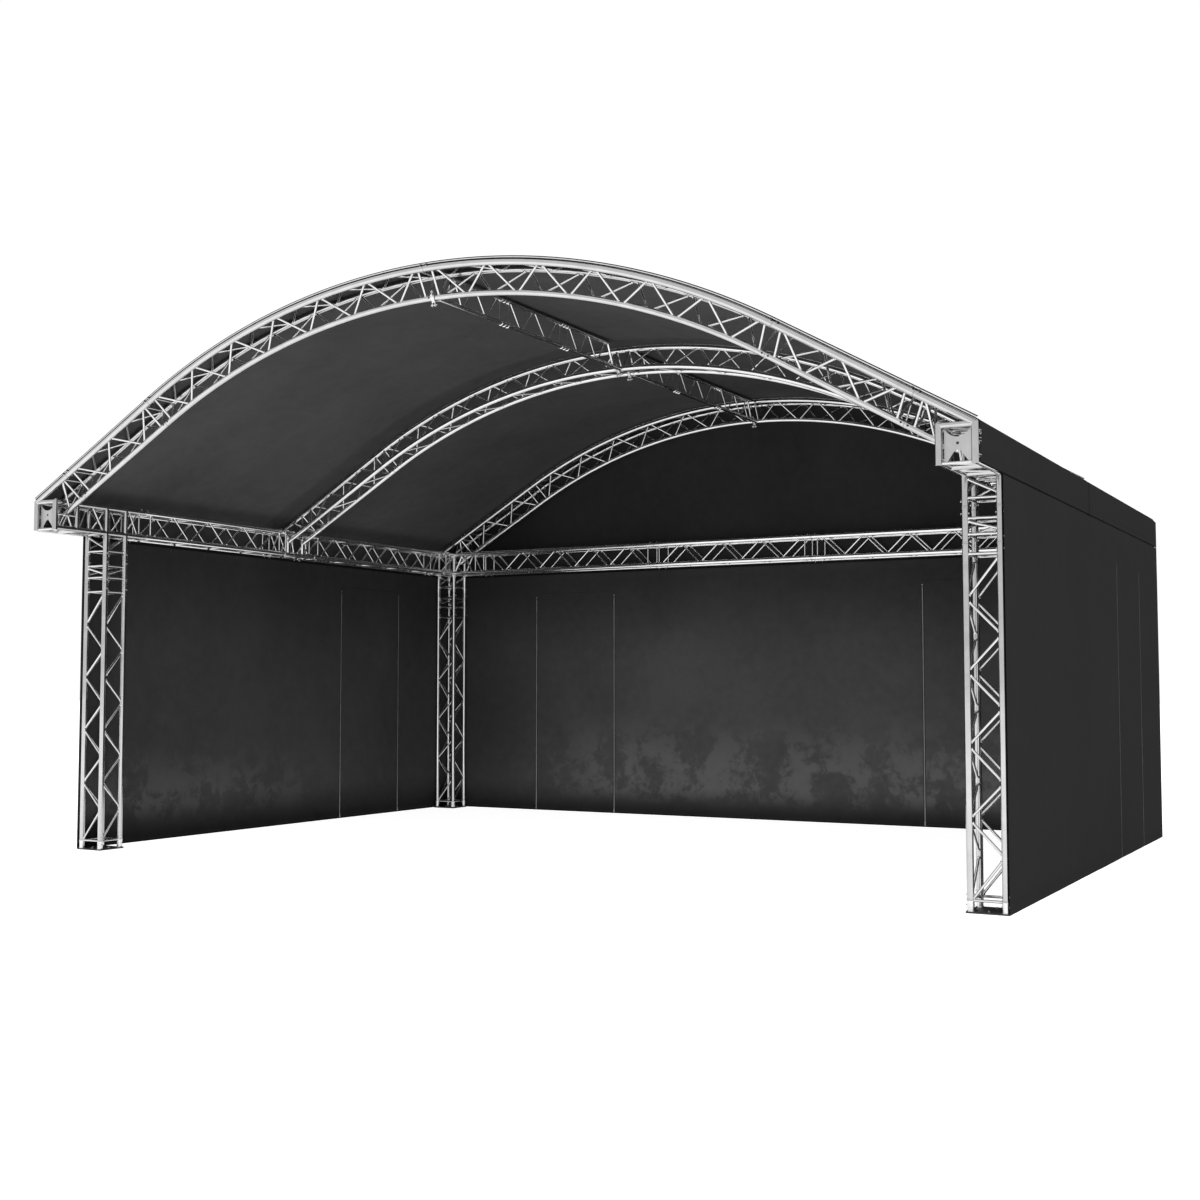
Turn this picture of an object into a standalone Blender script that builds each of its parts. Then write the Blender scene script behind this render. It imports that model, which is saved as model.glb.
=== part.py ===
import math

import bmesh
import bpy
from mathutils import Matrix, Vector

# ---------------------------------------------------------------- driving sizes, metres
Y0 = -2.662             # front tower line, measured from the middle of the footprint
TX = 4.25               # tower and side beam centre, each side
TY = 5.827              # back tower line behind the front one
S = 0.12                # half the chord spacing of the box trusses
RC = 0.025              # chord radius of the box trusses
RT = 0.0247             # posts and cross tubes of 50 mm
RB = 0.012              # brace radius
GAP = 0.0004            # gap between two pieces at a chord joint
INSET = 0.003           # how far a brace runs into the chord's flat side

PLATE = 0.30            # base plate side
PLATE_T = 0.012
Z_TOWER = 0.014         # chord start above the base plate
Z_J1 = 2.514            # tower to spacer
Z_J2 = 2.764            # spacer to block
ZB = 2.999              # beam bottom chord axis
ZT = 3.239              # beam top chord axis
Z_RAIL = 3.145          # rail that takes the low chord of an arch

Y_FRONT = -0.731        # front frame of the front block
Y_SECOND = -0.491
Y_B1 = 0.37             # side beam joints
Y_B2 = 2.42
Y_B3 = 2.92
Y_B4 = 5.45
X_B = (-3.75, -1.25, 0.75, 3.75)   # back beam joints

R_ARCH = 5.94           # outer chord axis of the arches
A_ARCH = math.radians(30)
ZC = -1.0969            # centre of the arcs
DEPTH = 0.208           # height of the triangular section
RA = 0.024              # chord apothem of the arches
RAIL = 0.016            # width of the fabric rail
RAIL_TALL = 1.625       # its height over its width
RAIL_V = 0.031          # its middle beyond the outer chord axis
ARC_STEPS = 6
U1 = R_ARCH * A_ARCH    # end of the curved piece
U2 = 4.268              # end of the straight piece
U_END = 4.7267          # axis of the block's outer chord
PITCH_ARCH = 0.2434

X_LADDER = 0.04
Z_LADDER = (4.627, 4.836)
R_LADDER = 0.019

CLOTH = 0.003
V_CANOPY = 0.030        # canopy's inner face beyond the outer chord axis
X_WALL = 4.400          # inner face of the side walls and valances
Y_WALL = 5.978          # inner face of the back wall and gable
Y_END = 6.080           # rear edge of canopy and side walls
Z_HEM = 0.016
Z_SPLIT = 2.974         # valance above, wall below
DOOR_H = 2.680          # height of the flap's hinge line
DOOR_GAP = 0.003
DOORS_LEFT = (3.768, 4.889)
DOORS_RIGHT = (3.868, 5.004)
DOORS_BACK = ((-3.049, -1.936), (1.948, 3.060))

X, Y, Z = Vector((1, 0, 0)), Vector((0, 1, 0)), Vector((0, 0, 1))


def P(x, y, z):
    return Vector((x, y + Y0, z))


# ---------------------------------------------------------------- shapes
def mesh_from(work, name="shape"):
    work.normal_update()
    bmesh.ops.recalc_face_normals(work, faces=work.faces)
    mesh = bpy.data.meshes.new(name)
    work.to_mesh(mesh)
    work.free()
    return mesh


def prism(p, q, apothem, sides, ref, n0=None, d0=0.0, n1=None, d1=0.0, tall=1.0):
    """A straight bar from p to q, one flat side facing ref. Each end is mitred to the plane
    through that point with normal n, moved by d along n."""
    d = (q - p).normalized()
    u = (ref - d * ref.dot(d)).normalized()
    v = d.cross(u)
    n0 = d if n0 is None else n0
    n1 = d if n1 is None else n1
    r = apothem / math.cos(math.pi / sides)
    work = bmesh.new()
    bmesh.ops.create_cone(work, cap_ends=True, segments=sides, radius1=r, radius2=r, depth=2.0)
    first = next(iter(work.verts)).co
    turn = Matrix.Rotation(math.pi / sides - math.atan2(first.y, first.x), 3, "Z")
    for vert in work.verts:
        at = turn @ vert.co
        w = u * at.x + v * (at.y * tall)
        if at.z < 0:
            vert.co = p + w + d * ((d0 - w.dot(n0)) / d.dot(n0))
        else:
            vert.co = q + w + d * ((d1 - w.dot(n1)) / d.dot(n1))
    return mesh_from(work)


def arc_bar(u0, u1, side, apothem, sides, radius, y, tall=1.0):
    """A bar bent round the arch's centre: a flat ring at length u0, spun to length u1."""
    o = out_at(u0, side)
    r = apothem / math.cos(math.pi / sides)
    work = bmesh.new()
    bmesh.ops.create_circle(work, cap_ends=False, segments=sides, radius=r)
    first = next(iter(work.verts)).co
    turn = Matrix.Rotation(math.pi / sides - math.atan2(first.y, first.x), 3, "Z")
    middle = P(side * radius * math.sin(u0 / R_ARCH), y, ZC + radius * math.cos(u0 / R_ARCH))
    for vert in work.verts:
        flat = turn @ vert.co
        vert.co = middle + Y * flat.x + o * (flat.y * tall)
    bmesh.ops.spin(
        work, geom=work.verts[:] + work.edges[:], cent=P(0, y, ZC), axis=Y, dvec=(0, 0, 0),
        angle=side * (u1 - u0) / R_ARCH, steps=ARC_STEPS, use_merge=False, use_duplicate=False,
    )
    bmesh.ops.holes_fill(work, edges=[e for e in work.edges if e.is_boundary], sides=sides)
    return mesh_from(work)


def box(low, high):
    low, high = P(*low), P(*high)
    work = bmesh.new()
    bmesh.ops.create_cube(
        work, size=1.0, matrix=Matrix.Translation((low + high) / 2) @ Matrix.Diagonal((*(high - low), 1.0))
    )
    return mesh_from(work)


def round_cutter(x, y0, y1, z, rx, rz, sides):
    """An oval cylinder along Y."""
    work = bmesh.new()
    bmesh.ops.create_cone(work, cap_ends=True, segments=sides, radius1=1.0, radius2=1.0, depth=1.0)
    place = Matrix.Translation(P(x, (y0 + y1) / 2, z)) @ Matrix.Diagonal((rx, y1 - y0, rz, 1.0))
    bmesh.ops.transform(work, matrix=place @ Matrix.Rotation(math.pi / 2, 4, "X"), verts=work.verts)
    return mesh_from(work)


def flat_outline(name, outline, thickness, centre, across, up, look):
    """A flat sheet: a closed 2D curve in the across and up directions, extruded by half its thickness each way."""
    curve = bpy.data.curves.new(name, "CURVE")
    curve.dimensions = "2D"
    curve.fill_mode = "BOTH"
    curve.extrude = thickness / 2
    spline = curve.splines.new("POLY")
    spline.points.add(len(outline) - 1)
    for point, (a, b) in zip(spline.points, outline):
        point.co = (a, b, 0.0, 1.0)
    spline.use_cyclic_u = True
    curve.materials.append(look)
    made = bpy.data.objects.new(name, curve)
    OBJECT.objects.link(made)
    made.matrix_world = Matrix.Translation(centre) @ Matrix((across, up, across.cross(up))).transposed().to_4x4()
    return made


# ---------------------------------------------------------------- objects
def material(name, color, metal, rough):
    made = bpy.data.materials.new(name)
    made.use_nodes = True
    shader = made.node_tree.nodes["Principled BSDF"]
    shader.inputs["Base Color"].default_value = (*color, 1.0)
    shader.inputs["Metallic"].default_value = metal
    shader.inputs["Roughness"].default_value = rough
    made.diffuse_color = (*color, 1.0)
    return made


def put(name, mesh, look, location=(0, 0, 0)):
    if not mesh.materials:
        mesh.materials.append(look)
    mesh.shade_smooth()
    mesh.set_sharp_from_angle(angle=math.radians(48))
    made = bpy.data.objects.new(name, mesh)
    made.location = location
    OBJECT.objects.link(made)
    return made


def helpers(name, meshes):
    group = bpy.data.collections.new(name)
    HELPERS.children.link(group)
    for k, mesh in enumerate(meshes):
        helper = bpy.data.objects.new(f"{name}_{k}", mesh)
        helper.hide_render = True
        helper.display_type = "WIRE"
        group.objects.link(helper)
    return group


def joined(name, meshes, cut=()):
    """One mesh from overlapping shapes by Boolean union, less the cutters."""
    base = bpy.data.objects.new(name + "_base", meshes[0])
    HELPERS.objects.link(base)
    groups = [(helpers(name + "_more", meshes[1:]), "UNION")]
    if cut:
        groups.append((helpers(name + "_cut", cut), "DIFFERENCE"))
    for group, operation in groups:
        step = base.modifiers.new(operation.lower(), "BOOLEAN")
        step.operation = operation
        step.solver = "EXACT"
        step.operand_type = "COLLECTION"
        step.collection = group
    bpy.context.view_layer.update()
    graph = bpy.context.evaluated_depsgraph_get()
    mesh = bpy.data.meshes.new_from_object(base.evaluated_get(graph))
    mesh.name = name
    for helper in [base, *(h for group, _ in groups for h in group.objects)]:
        bpy.data.objects.remove(helper)
    for group, _ in groups:
        bpy.data.collections.remove(group)
    return mesh


# ---------------------------------------------------------------- truss members
def brace(p, q, half_p=RC, half_q=RC, sides=3, r=RB, across=None, face=None):
    """A brace between two chord axes; its ends stop just inside the chords' flat sides."""
    d = (q - p).normalized()
    across = (q - p).normalized() if across is None else across
    if face is None:
        face = d.cross(X) if abs(d.dot(X)) < 0.9 else d.cross(Z)
    face = (face - d * face.dot(d)).normalized()
    shift = face * (r * 0.25) if sides == 3 else Vector((0, 0, 0))
    apothem = r * math.cos(math.pi / sides)
    return prism(p + shift, q + shift, apothem, sides, face, across, half_p - INSET, across, INSET - half_q)


def zigzag(c0, c1, nodes, first, gap=0.0, half=RC, face=None):
    """Diagonals of one face: c0 and c1 give a chord axis point at a length, nodes are the lengths."""
    made = []
    for k in range(len(nodes) - 1):
        a, b = nodes[k] + gap, nodes[k + 1] - gap
        low, high = (c0, c1) if (k + first) % 2 == 0 else (c1, c0)
        p, q = low(a), high(b)
        mid = 0.5 * (a + b)
        across = (high(mid) - low(mid)).normalized()
        along = (low(mid + 0.01) - low(mid - 0.01)).normalized()
        made.append(brace(p, q, half, half, across=across, face=along.cross(across)))
    return made


def chord_line(x, y, z, axis):
    def at(s):
        return P(s if axis == 0 else x, s if axis == 1 else y, s if axis == 2 else z)
    return at


def steps(start, pitch, count):
    return [start + pitch * k for k in range(count + 1)]


def box_truss(axis, centre, s0, s1, zigzags, posts):
    """A straight box truss along an axis. zigzags: (face, nodes, first); posts: (length, faces)."""
    cx, cy, cz = centre
    corner = {}
    for i in (-1, 1):
        for j in (-1, 1):
            if axis == 2:
                corner[i, j] = chord_line(cx + i * S, cy + j * S, 0, 2)
            elif axis == 1:
                corner[i, j] = chord_line(cx + i * S, 0, cz + j * S, 1)
            else:
                corner[i, j] = chord_line(0, cy + i * S, cz + j * S, 0)
    ref = X if axis != 0 else Y
    solids = [prism(c(s0), c(s1), RC, 8, ref) for c in corner.values()]
    faces = {
        "a-": (corner[-1, -1], corner[-1, 1]), "a+": (corner[1, -1], corner[1, 1]),
        "b-": (corner[-1, -1], corner[1, -1]), "b+": (corner[-1, 1], corner[1, 1]),
    }
    for name, nodes, first in zigzags:
        solids += zigzag(*faces[name], nodes, first)
    for s, names in posts:
        for name in names:
            c0, c1 = faces[name]
            along = (c0(1) - c0(0)).normalized()
            solids.append(brace(c0(s), c1(s), face=along.cross(c1(s) - c0(s))))
    return solids


ALL = ("a-", "a+", "b-", "b+")


# ---------------------------------------------------------------- arches
def on_arc(u, v, side):
    th = max(-A_ARCH, min(A_ARCH, u / R_ARCH))
    ex = u - th * R_ARCH
    x = (R_ARCH + v) * math.sin(th) + ex * math.cos(th)
    z = ZC + (R_ARCH + v) * math.cos(th) - ex * math.sin(th)
    return side * x, z


def arc_line(v, y, side):
    """Chord axis by length along the arch: straight between the corners of the drawn curve."""
    def at(u):
        if u >= U1:
            x, z = on_arc(u, v, side)
        else:
            k = min(ARC_STEPS - 1, int(u / U1 * ARC_STEPS))
            t = u / U1 * ARC_STEPS - k
            xa, za = on_arc(U1 * k / ARC_STEPS, v, side)
            xb, zb = on_arc(U1 * (k + 1) / ARC_STEPS, v, side)
            x, z = xa + (xb - xa) * t, za + (zb - za) * t
        return P(x, y, z)
    return at


def out_at(u, side):
    th = max(-A_ARCH, min(A_ARCH, u / R_ARCH))
    return Vector((side * math.sin(th), 0, math.cos(th)))


def arch_lines(y, up, side):
    """Three chord axes: the two that are level, then the single one."""
    pair, single = (-DEPTH, 0.0) if up else (0.0, -DEPTH)
    return arc_line(pair, y - S, side), arc_line(pair, y + S, side), arc_line(single, y, side)


def chord_rows(y, up):
    """(v, y) of the three chords: the two that are level, then the single one."""
    pair, single = (-DEPTH, 0.0) if up else (0.0, -DEPTH)
    return (pair, y - S), (pair, y + S), (single, y)


def rail_straight(u0, u1, y, side):
    o = out_at(u0, side)
    at = arc_line(0.0, y, side)
    return prism(at(u0) + o * RAIL_V, at(u1) + o * RAIL_V, RAIL / 2, 4, Y, tall=RAIL_TALL)


def arch_piece(y, up, side, u0, u1, nodes, posts, rail_y, first):
    lines = arch_lines(y, up, side)
    curved = u0 < U1 - 0.1
    if curved:
        solids = [arc_bar(u0, u1, side, RA, 6, R_ARCH + v, yc) for v, yc in chord_rows(y, up)]
    else:
        solids = [prism(at(u0), at(u1), RA, 6, Y) for at in lines]
    if rail_y is not None and curved:
        solids.append(arc_bar(u0, u1, side, RAIL / 2, 4, R_ARCH + RAIL_V, rail_y, RAIL_TALL))
    elif rail_y is not None:
        solids.append(rail_straight(u0, u1, rail_y, side))
    a, b, c = lines
    solids += zigzag(a, c, nodes, first, half=RA)
    solids += zigzag(b, c, nodes, 1 - first, half=RA)
    for u in posts:
        for p, q in ((a, c), (b, c), (a, b)):
            solids.append(post(p, q, u, side))
    return solids


def post(p, q, u, side):
    along = (p(u + 0.02) - p(u - 0.02)).normalized()
    across = (q(u) - p(u)).normalized()
    return brace(p(u), q(u), RA, RA, face=along.cross(across))


def stub(y, up, side, x_low, rail_y):
    """The arch's end piece that is welded to a block."""
    lines = arch_lines(y, up, side)
    u0 = U2 + GAP / 2
    solids = []
    for at, low in zip(lines, (up, up, not up)):
        stop = at(U_END)
        d = (stop - at(U2)).normalized()
        x_stop = side * (x_low if low else TX + S)
        stop = at(U2) + d * ((x_stop - at(U2).x) / d.x)
        solids.append(prism(at(u0), stop, RA, 6, Y, d, 0.0, X * side, 0.0))
    if rail_y is not None:
        solids.append(rail_straight(u0, U_END, rail_y, side))
    a, b, c = lines
    for p, q in ((a, c), (b, c), (a, b)):
        solids.append(post(p, q, U2 + 0.07, side))
    return solids


# ---------------------------------------------------------------- blocks
def tube(p, q, r=RC, ref=None, sides=8):
    d = (q - p).normalized()
    if ref is None:
        ref = X if abs(d.dot(X)) < 0.5 else Y
    return prism(p, q, r, sides, ref)


def leg(cx, cy, top=ZT):
    """The block's four upright chords, from the spacer joint up, with their ring and diagonals."""
    solids = [
        tube(P(cx + i * S, cy + j * S, Z_J2 + GAP / 2), P(cx + i * S, cy + j * S, top))
        for i in (-1, 1) for j in (-1, 1)
    ]
    corner = {(i, j): chord_line(cx + i * S, cy + j * S, 0, 2) for i in (-1, 1) for j in (-1, 1)}
    for c0, c1 in (((1, -1), (-1, -1)), ((-1, 1), (1, 1)), ((-1, -1), (-1, 1)), ((1, -1), (1, 1))):
        c0, c1 = corner[c0], corner[c1]
        solids.append(brace(c0(2.829), c1(2.829), face=Z.cross(c1(0) - c0(0))))
        solids += zigzag(c0, c1, [2.852, 2.968], 0, 0.0)
        solids += zigzag(c0, c1, [3.050, 3.190], 0, 0.0)
    return solids


def bar_yz(x, y0, z0, y1, z1, across):
    return brace(P(x, y0, z0), P(x, y1, z1), across=across, face=X)


def front_block(side):
    xi, xo = side * (TX - S), side * (TX + S)
    solids = leg(side * TX, 0.0)
    for x in (xi, xo):
        for z in (ZB, ZT):
            solids.append(tube(P(x, Y_FRONT, z), P(x, Y_B1 - GAP / 2, z)))
        solids.append(tube(P(x, Y_FRONT, ZB - RC), P(x, Y_FRONT, ZT + 0.012)))
        solids.append(tube(P(x, Y_SECOND, ZB), P(x, Y_SECOND, ZT), RT))
        solids.append(bar_yz(x, -0.43, ZB, -0.18, ZT, Z))
        solids.append(bar_yz(x, 0.295, ZB, 0.295, ZT, Z))
    for y in (Y_FRONT, Y_SECOND):
        solids.append(tube(P(xi, y, ZT), P(xo, y, ZT), RT))
    for y, z in ((0.295, ZT), (0.295, ZB), (-0.66, ZB), (-0.43, ZB)):
        solids.append(brace(P(xi, y, z), P(xo, y, z), face=Z))
    solids.append(tube(P(xi, Y_FRONT, Z_RAIL), P(xi, Y_SECOND, Z_RAIL), 0.0125, sides=6))
    solids.append(box((min(xi, xo), -0.705, ZB), (max(xi, xo), -0.700, ZT)))
    solids += stub(-0.611, False, side, TX - S, Y_FRONT)
    cx = side * TX
    y0, y1 = -0.7058, -0.695
    cut = [
        round_cutter(cx, y0, y1, ZB, 0.075, 0.085, 20),
        round_cutter(cx, y0, y1, ZT + 0.022, 0.075, 0.067, 16),
        round_cutter(cx, y0, y1, 3.135, 0.0075, 0.0075, 8),
    ]
    return solids, cut


def side_block(side):
    xi, xo = side * (TX - S), side * (TX + S)
    solids = []
    for x in (xi, xo):
        for z in (ZB, ZT):
            solids.append(tube(P(x, Y_B2 + GAP / 2, z), P(x, Y_B3 - GAP / 2, z)))
    for y in (2.488, 2.728):
        solids.append(tube(P(xi, y, ZB), P(xi, y, Z_RAIL + 0.038), RT))
    solids.append(tube(P(xi, 2.608, ZT), P(xo, 2.608, ZT), RT))
    solids.append(tube(P(xi, 2.488, 3.10), P(xi, 2.728, 3.10), 0.0125, sides=6))
    for y in (2.492, 2.848):
        solids.append(bar_yz(xo, y, ZB, y, ZT, Z))
        solids.append(brace(P(xi, y, ZB), P(xo, y, ZB), face=Z))
        solids.append(brace(P(xi, y, ZT), P(xo, y, ZT), face=Z))
    solids.append(bar_yz(xi, 2.848, ZB, 2.848, ZT, Z))
    solids.append(bar_yz(xo, 2.545, ZB, 2.795, ZT, Z))
    return solids + stub(2.608, True, side, TX - S, 2.608)


def corner_block(side):
    xi, xo = side * (TX - S), side * (TX + S)
    yi, yo = TY - S, TY + S
    solids = leg(side * TX, TY)
    for x in (xi, xo):
        for z in (ZB, ZT):
            solids.append(tube(P(x, Y_B4 + GAP / 2, z), P(x, yo, z)))
        solids.append(bar_yz(x, 5.522, ZB, 5.522, ZT, Z))
    for y in (yi, yo):
        for z in (ZB, ZT):
            solids.append(tube(P(xo, y, z), P(side * (X_B[3] + GAP / 2), y, z)))
        solids.append(brace(P(side * 3.822, y, ZB), P(side * 3.822, y, ZT), face=Y))
    for z in (ZB, ZT):
        solids.append(brace(P(xi, 5.522, z), P(xo, 5.522, z), face=Z))
        solids.append(brace(P(side * 3.822, yi, z), P(side * 3.822, yo, z), face=Z))
    solids.append(tube(P(xi, yi, Z_RAIL), P(xi, yo, Z_RAIL), 0.0125, sides=6))
    for x in (xi, xo):
        solids.append(bar_yz(x, 5.545, ZB, 5.655, ZT, Z))
    for y in (yi, yo):
        solids.append(brace(P(side * 3.87, y, ZB), P(side * 4.06, y, ZT), across=Z, face=Y))
    return solids + stub(TY, False, side, TX - S, None)


# ---------------------------------------------------------------- ladders
def ladder(y0, y1, joints):
    """Two light chords one above the other, between clamps on two arch chords; three modules with slanted end posts."""
    low = chord_line(X_LADDER, 0, Z_LADDER[0], 1)
    high = chord_line(X_LADDER, 0, Z_LADDER[1], 1)
    r = R_LADDER
    first, last = joints
    solids = [prism(low(y0), low(y1), r, 6, Z), prism(high(first - 0.800), high(last + 0.830), r, 6, Z)]
    for low_y, high_y in ((first - 0.885, first - 0.790), (last + 0.927, last + 0.820)):
        solids.append(prism(low(low_y), high(high_y), 0.0125, 6, X))
    for nodes in (
        [first - 0.770, first - 0.640, first - 0.471, first - 0.286, first - 0.106],
        [first + 0.072, first + 0.266, first + 0.477, first + 0.686, first + 0.894],
        [last + 0.070, last + 0.250, last + 0.431, last + 0.602, last + 0.780],
    ):
        for k in range(4):
            s, t = nodes[k] + 0.014, nodes[k + 1] - 0.014
            p, q = (high(s), low(t)) if k % 2 == 0 else (low(s), high(t))
            solids.append(brace(p, q, r, r, r=0.0075, across=-Z if k % 2 == 0 else Z, face=X))
    for s in joints:
        for y in (s - 0.082, s + 0.062):
            solids.append(brace(low(y), high(y), r, r, r=0.0075, across=Z, face=X))
    cuts = []
    z = ZC + R_ARCH - DEPTH
    for y in (y0, y1):
        solids.append(box((X_LADDER - 0.014, y - 0.040, z - 0.046), (X_LADDER + 0.014, y + 0.040, z + 0.036)))
        at = arc_line(-DEPTH, y, 1)
        cuts.append(prism(at(0.001), at(0.12), RA + 0.0006, 6, Y))
    return solids, cuts


# ---------------------------------------------------------------- fabric
def profile(v):
    """Half outline of the canopy at distance v beyond the outer chord axis, crown to eave, as (x, z)."""
    points = []
    for k in range(ARC_STEPS + 1):
        th = A_ARCH * k / ARC_STEPS
        points.append(((R_ARCH + v) * math.sin(th), ZC + (R_ARCH + v) * math.cos(th)))
    x_eave = X_WALL + (v - V_CANOPY)
    x, z = points[-1]
    t = (x_eave - x) / math.cos(A_ARCH)
    points.append((x_eave, z - t * math.sin(A_ARCH)))
    return points


def canopy(name, y0, y1):
    """An open strip along the profile, drawn across the bay, then given its thickness outwards."""
    half = profile(V_CANOPY)
    half.append((half[-1][0], Z_SPLIT + 0.002))
    line = [(-x, z) for x, z in reversed(half)] + half[1:]
    work = bmesh.new()
    verts = [work.verts.new(P(x, y0, z)) for x, z in line]
    edges = [work.edges.new(pair) for pair in zip(verts, verts[1:])]
    made = bmesh.ops.extrude_edge_only(work, edges=edges)
    moved = [g for g in made["geom"] if isinstance(g, bmesh.types.BMVert)]
    bmesh.ops.translate(work, vec=(0, y1 - y0, 0), verts=moved)
    for face in work.faces:
        face.normal_update()
    crown = max(work.faces, key=lambda face: face.calc_center_median().z)
    if crown.normal.z < 0:
        bmesh.ops.reverse_faces(work, faces=work.faces)
    mesh = bpy.data.meshes.new(name)
    work.to_mesh(mesh)
    work.free()
    made = put(name, mesh, CANVAS["canopy_cloth"])
    thick = made.modifiers.new("thickness", "SOLIDIFY")
    thick.thickness = CLOTH
    thick.offset = 1.0
    thick.use_even_offset = True
    return made


def gable():
    top = profile(V_CANOPY - 0.003)
    x_side = X_WALL - 0.004
    top[-1] = (x_side, top[-1][1] + 0.5 * (top[-1][0] - x_side))
    top.append((x_side, Z_SPLIT + 0.002))
    outline = [(-x, z) for x, z in reversed(top)] + top[1:]
    flat_outline("back_gable", outline, CLOTH, P(0, Y_WALL + CLOTH / 2, 0), X, Z, CANVAS["canopy_cloth"])


def wall_outline(a0, a1, doors):
    points = [(a0, Z_HEM)]
    for d0, d1 in doors:
        points += [(d0, Z_HEM), (d0, DOOR_H + DOOR_GAP), (d1, DOOR_H + DOOR_GAP), (d1, Z_HEM)]
    return points + [(a1, Z_HEM), (a1, Z_SPLIT - 0.002), (a0, Z_SPLIT - 0.002)]


# ================================================================ build
for old in list(bpy.data.objects):
    bpy.data.objects.remove(old)
OBJECT = bpy.data.collections.new("arched_truss_stage_roof")
HELPERS = bpy.data.collections.new("helpers")
bpy.context.scene.collection.children.link(OBJECT)
bpy.context.scene.collection.children.link(HELPERS)

ALU = {k: material(k, (0.72, 0.73, 0.75), 1.0, 0.35) for k in
       ("tower_alu", "block_alu", "beam_alu", "arch_alu", "ladder_alu", "slider_alu")}
STEEL = material("plate_black", (0.03, 0.03, 0.033), 0.2, 0.5)
CANVAS = {k: material(k, (0.03, 0.03, 0.032), 0.0, 0.8) for k in ("canopy_cloth", "wall_cloth", "door_cloth")}

# towers, spacers and base plates: one mesh each, placed four times
nodes_t = [0.072, 0.382, 0.630, 0.880, 1.130, 1.384, 1.630, 1.885, 2.130, 2.434]
h = PLATE / 2
plate_mesh = box((-h, -h, 0), (h, h, PLATE_T))
# faces a-/a+ are the left and right ones, from the front chord back; b-/b+ the front and back ones
tower_mesh = joined("tower_truss", box_truss(
    2, (0, 0, 0), Z_TOWER, Z_J1 - GAP / 2, [(name, nodes_t, 0) for name in ALL], [(0.086, ALL), (2.442, ALL)]))
corner = {(i, j): chord_line(i * S, j * S, 0, 2) for i in (-1, 1) for j in (-1, 1)}
solids = [prism(c(Z_J1 + GAP / 2), c(Z_J2 - GAP / 2), RC, 8, X) for c in corner.values()]
for c0, c1 in (((1, -1), (-1, -1)), ((-1, 1), (1, 1)), ((-1, -1), (-1, 1)), ((1, -1), (1, 1))):
    c0, c1 = corner[c0], corner[c1]
    for s in (2.577, 2.688):
        solids.append(brace(c0(s), c1(s), face=Z.cross(c1(0) - c0(0))))
    solids += zigzag(c0, c1, [2.606, 2.670], 0, 0.0)
spacer_mesh = joined("spacer_truss", solids)
for tag, x, y in (("front_left", -TX, 0.0), ("front_right", TX, 0.0), ("back_left", -TX, TY), ("back_right", TX, TY)):
    put(f"base_plate_{tag}", plate_mesh, STEEL, (x, y, 0))
    put(f"tower_truss_{tag}", tower_mesh, ALU["tower_alu"], (x, y, 0))
    put(f"spacer_truss_{tag}", spacer_mesh, ALU["tower_alu"], (x, y, 0))

# blocks
for tag, side in (("left", -1), ("right", 1)):
    solids, cut = front_block(side)
    put(f"front_block_{tag}", joined("front_block", solids, cut), ALU["block_alu"])
    put(f"side_block_{tag}", joined("side_block", side_block(side)), ALU["block_alu"])
    put(f"back_corner_block_{tag}", joined("corner_block", corner_block(side)), ALU["block_alu"])

# side beams
for name, y0, y1, nodes in (
    ("front", Y_B1, Y_B2, [0.475, 0.750, 0.982, 1.256, 1.490, 1.765, 2.002, 2.275]),
    ("back", Y_B3, Y_B4, [3.025, 3.290, 3.533, 3.800, 4.042, 4.308, 4.551, 4.817, 5.060, 5.325]),
):
    beam = joined("side_beam", box_truss(
        1, (0, 0, ZB + S), y0 + GAP / 2, y1 - GAP / 2, [("a-", nodes, 0), ("a+", nodes, 0)],
        [(y0 + 0.072, ALL), (y1 - 0.072, ALL)]))
    put(f"side_beam_{name}_left", beam, ALU["beam_alu"], (-TX, 0, 0))
    put(f"side_beam_{name}_right", beam, ALU["beam_alu"], (TX, 0, 0))

# back beam
for name, i, start, pitch, count, first in (
    ("left", 0, -3.612, 0.2495, 9, 1), ("middle", 1, -1.147, 0.2545, 7, 0), ("right", 2, 0.87, 0.251, 11, 1)
):
    nodes = steps(start, pitch, count)
    beam = joined("back_beam", box_truss(
        0, (0, 0, ZB + S), X_B[i] + GAP / 2, X_B[i + 1] - GAP / 2, [("a-", nodes, first), ("a+", nodes, first)],
        [(X_B[i] + 0.072, ALL), (X_B[i + 1] - 0.072, ALL)]))
    put(f"back_beam_{name}", beam, ALU["beam_alu"], (0, TY, 0))

# arches
for name, y, up, rail_y, first in (
    ("front", -0.611, False, Y_FRONT, 0), ("middle", 2.608, True, 2.608, 0), ("back", TY, False, None, 1)
):
    for tag, side in (("left", -1), ("right", 1)):
        curved = arch_piece(y, up, side, GAP / 2, U1 - GAP / 2, steps(0.099, PITCH_ARCH, 12), (0.070, 3.048), rail_y, first)
        straight = arch_piece(y, up, side, U1 + GAP / 2, U2 - GAP / 2, steps(3.188, 0.2418, 4), (3.180, 4.198), rail_y, first)
        put(f"arch_{name}_curved_{tag}", joined("arch_curved", curved), ALU["arch_alu"])
        put(f"arch_{name}_straight_{tag}", joined("arch_straight", straight), ALU["arch_alu"])

# ridge ladders
for name, *spans in (("front", -0.611, 2.488, (0.386, 1.398)), ("back", 2.728, TY, (3.716, 4.750))):
    solids, cuts = ladder(*spans)
    put(f"ridge_ladder_{name}", joined("ridge_ladder", solids, cuts), ALU["ladder_alu"])

# fabric
canopy("canopy_front", -0.718, 2.5955)
canopy("canopy_back", 2.6205, Y_END)
gable()


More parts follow.
